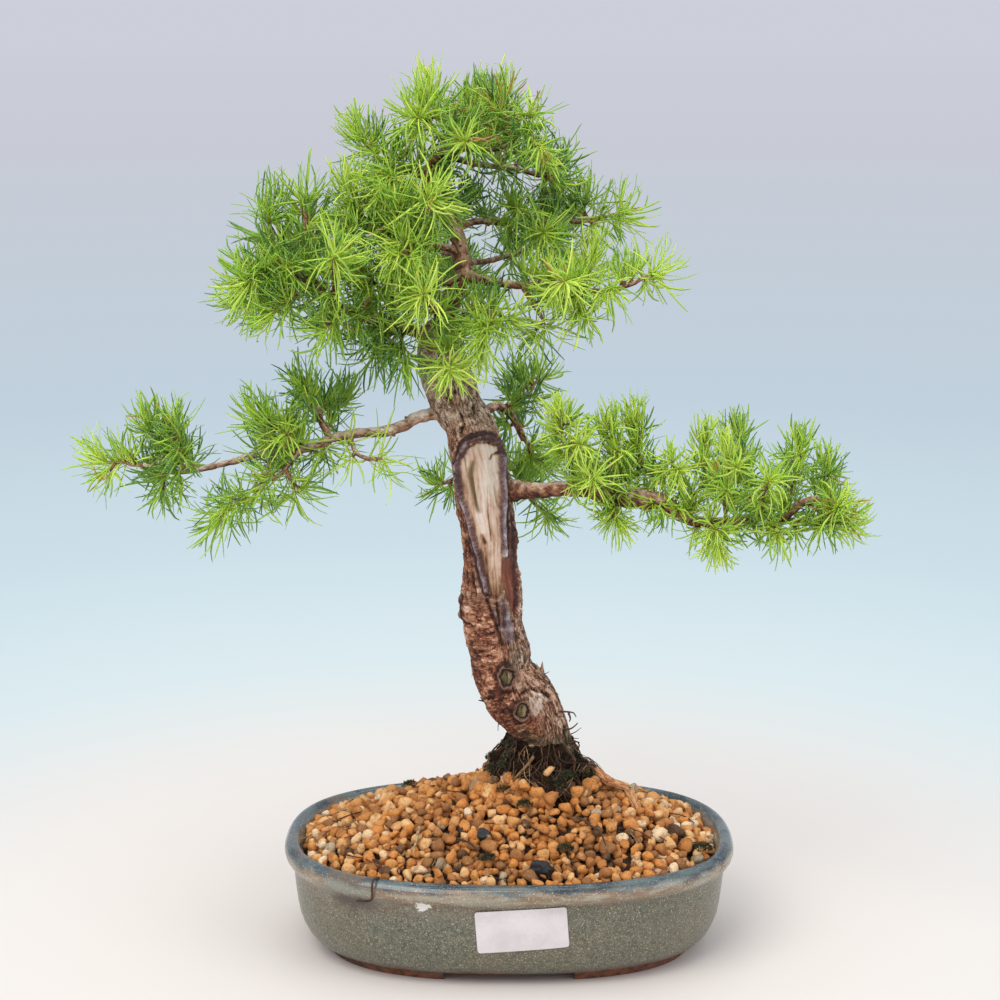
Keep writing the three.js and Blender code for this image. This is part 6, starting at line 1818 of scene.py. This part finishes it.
# Peeling flakes of bark: height, angle from the front, the way they point, length and width
shards = [(151.6, 84, (0.12, -0.1, 1), 9.5, 3.4), (153, 78, (-0.2, -0.1, 1), 8, 3),
          (146, 66, (0.9, -0.1, 0.5), 5, 1.6), (141, 84, (0.8, -0.2, -0.3), 6, 1.4),
          (171, -82, (-0.2, -0.2, -1), 8, 1.6), (199, -82, (-0.3, -0.3, -0.9), 5, 3),
          (207, -80, (-0.6, -0.2, 0.6), 4, 2.2), (238, 84, (0.7, -0.3, 0.6), 3, 1.4),
          (224, 84, (0.8, -0.3, 0.3), 3, 1.8), (252, 80, (0.7, -0.3, -0.6), 3.4, 1.6),
          (135, 30, (0.5, -0.6, 0.4), 5, 2.2), (158, 50, (0.5, -0.5, 0.8), 5, 2.4),
          (147, 34, (0.7, -0.6, 0.3), 5, 2.6), (186, -30, (-0.2, -0.6, 0.8), 4, 2.6),
          (178, -55, (-0.5, -0.6, 0.4), 4, 2.4)]
hairCount = 30


# Thin flakes, hairs and twiglets that stand off the trunk
def makeFlakes():
    flakes = Gather()
    for z, turn, way, length, width in shards:
        base, way = trunkSpot(z, math.radians(turn), 1.8), unit(way)
        across = unit(np.cross(way, [0.2, 1, 0.1]))
        thin = np.cross(way, across)
        shares = np.linspace(0, 1, 6)
        ring = []
        for share in shares:
            middle = base + way * (share * length - 1.2) + thin * share ** 2 * 1.2
            half = width / 2 * (1 - share ** 1.6 * 0.85) * (1 + 0.2 * chance.normal())
            ring += [middle + step for step in (across * half, thin * 0.25, -across * half, -thin * 0.25)]
        points = np.vstack([ring, base - way * 1.4, base + way * length + thin * 1.2])
        flakes.add(points, ringFaces(6, 4), flow=points, tone=0.66, grey=0.6, **plainWood)
    for _ in range(hairCount):
        height, turn = chance.uniform(116, 150), chance.uniform(-1.7, 1.7)
        start = trunkSpot(height, turn, 2.0)
        way = unit(start - trunkSpot(height, turn, 12) + chance.normal(size=3) * 4)
        middle = start + way * 2.8 + chance.normal(size=3) * 0.8
        end = start + way * chance.uniform(3, 5) + chance.normal(size=3) * 2
        route = smoothRoute([start, middle, end], count=7)
        flakes.thread(route, 0.4, 0.16, 5, withFlow=True, tone=0.2, grey=0.4, **plainWood)
    for steps in twiglets:
        route = smoothRoute(steps, step=0.8)
        flakes.thread(route, 0.75, 0.3, 6, withFlow=True, tone=0.12, grey=0.3, **plainWood)
    return flakes.piece("barkFlakes")


finishPiece(makeFlakes(), limbPaint, "bark")
print("small things made")


# The stage: a wide pale floor that fades into haze far off, a camera at the photo's angle, and soft light

def makeStage():
    bpy.ops.object.select_all(action="DESELECT")
    bpy.ops.mesh.primitive_grid_add(x_subdivisions=24, y_subdivisions=24, size=60)
    piece = bpy.context.object
    piece.name = "studioFloor"
    piece.data.materials.append(newPaint("studioFloor", paintStage, glow=1.0, shine=0.0))


# Near the pot the floor takes light and shade. Further out it glows evenly in the haze's colours
def paintStage(m, spot):
    far = m.node("VectorMath", operation="LENGTH")
    m.feed(far.inputs[0], spot)
    metres = far.outputs["Value"]
    haze = m.ramp(m.times(metres, 0.1), (0.016, 242, 239, 234), (0.033, 234, 239, 238),
                  (0.056, 221, 236, 241), (0.096, 205, 224, 233), (0.17, 193, 209, 222),
                  (0.29, 195, 205, 216), (0.5, 200, 203, 213), (1.0, 204, 207, 218))
    return {"Base Color": m.mix(m.band(metres, 0.16, 0.6), rgb(226, 219, 211), rgb(0, 0, 0)),
            "Emission Color": m.mix(m.band(metres, 0.16, 0.6), rgb(0, 0, 0), haze),
            "Roughness": m.band(metres, 0.1, 2.0, 0.9, 1.0)}


makeStage()

view = {"at": (-5.4, -1450, 605), "pitch": 13.1, "lens": 92.74}
cameraData = bpy.data.cameras.new("photoCamera")
cameraData.sensor_width = 36
cameraData.lens = view["lens"]
camera = bpy.data.objects.new("photoCamera", cameraData)
camera.location = place(view["at"])
camera.rotation_euler = (math.radians(90 - view["pitch"]), 0, 0)
bpy.context.scene.collection.objects.link(camera)
bpy.context.scene.camera = camera

# Place and aim in metres, size, power and colour
lights = {"softKey": ((-0.9, -1.3, 1.9), (0, 0, 0.25), 1.6, 34, (1.0, 0.98, 0.95)),
          "softFill": ((1.4, -1.0, 1.2), (0, 0, 0.25), 1.5, 11, (0.96, 0.98, 1.0)),
          "softTop": ((0.1, 0.2, 2.2), (0, 0, 0.2), 1.8, 13, (1.0, 1.0, 1.0))}
for name, (spot, aim, size, power, tone) in lights.items():
    lamp = bpy.data.lights.new(name, "AREA")
    lamp.size = size
    lamp.energy = power
    lamp.color = tone
    piece = bpy.data.objects.new(name, lamp)
    piece.location = spot
    piece.rotation_euler = (Vector(aim) - Vector(spot)).to_track_quat("-Z", "Y").to_euler()
    bpy.context.scene.collection.objects.link(piece)

world = bpy.data.worlds.new("studio")
bpy.context.scene.world = world
world.use_nodes = True
world.node_tree.nodes["Background"].inputs["Color"].default_value = (0.863, 0.891, 1.0, 1.0)
world.node_tree.nodes["Background"].inputs["Strength"].default_value = 0.7
bpy.context.scene.view_settings.view_transform = "Standard"
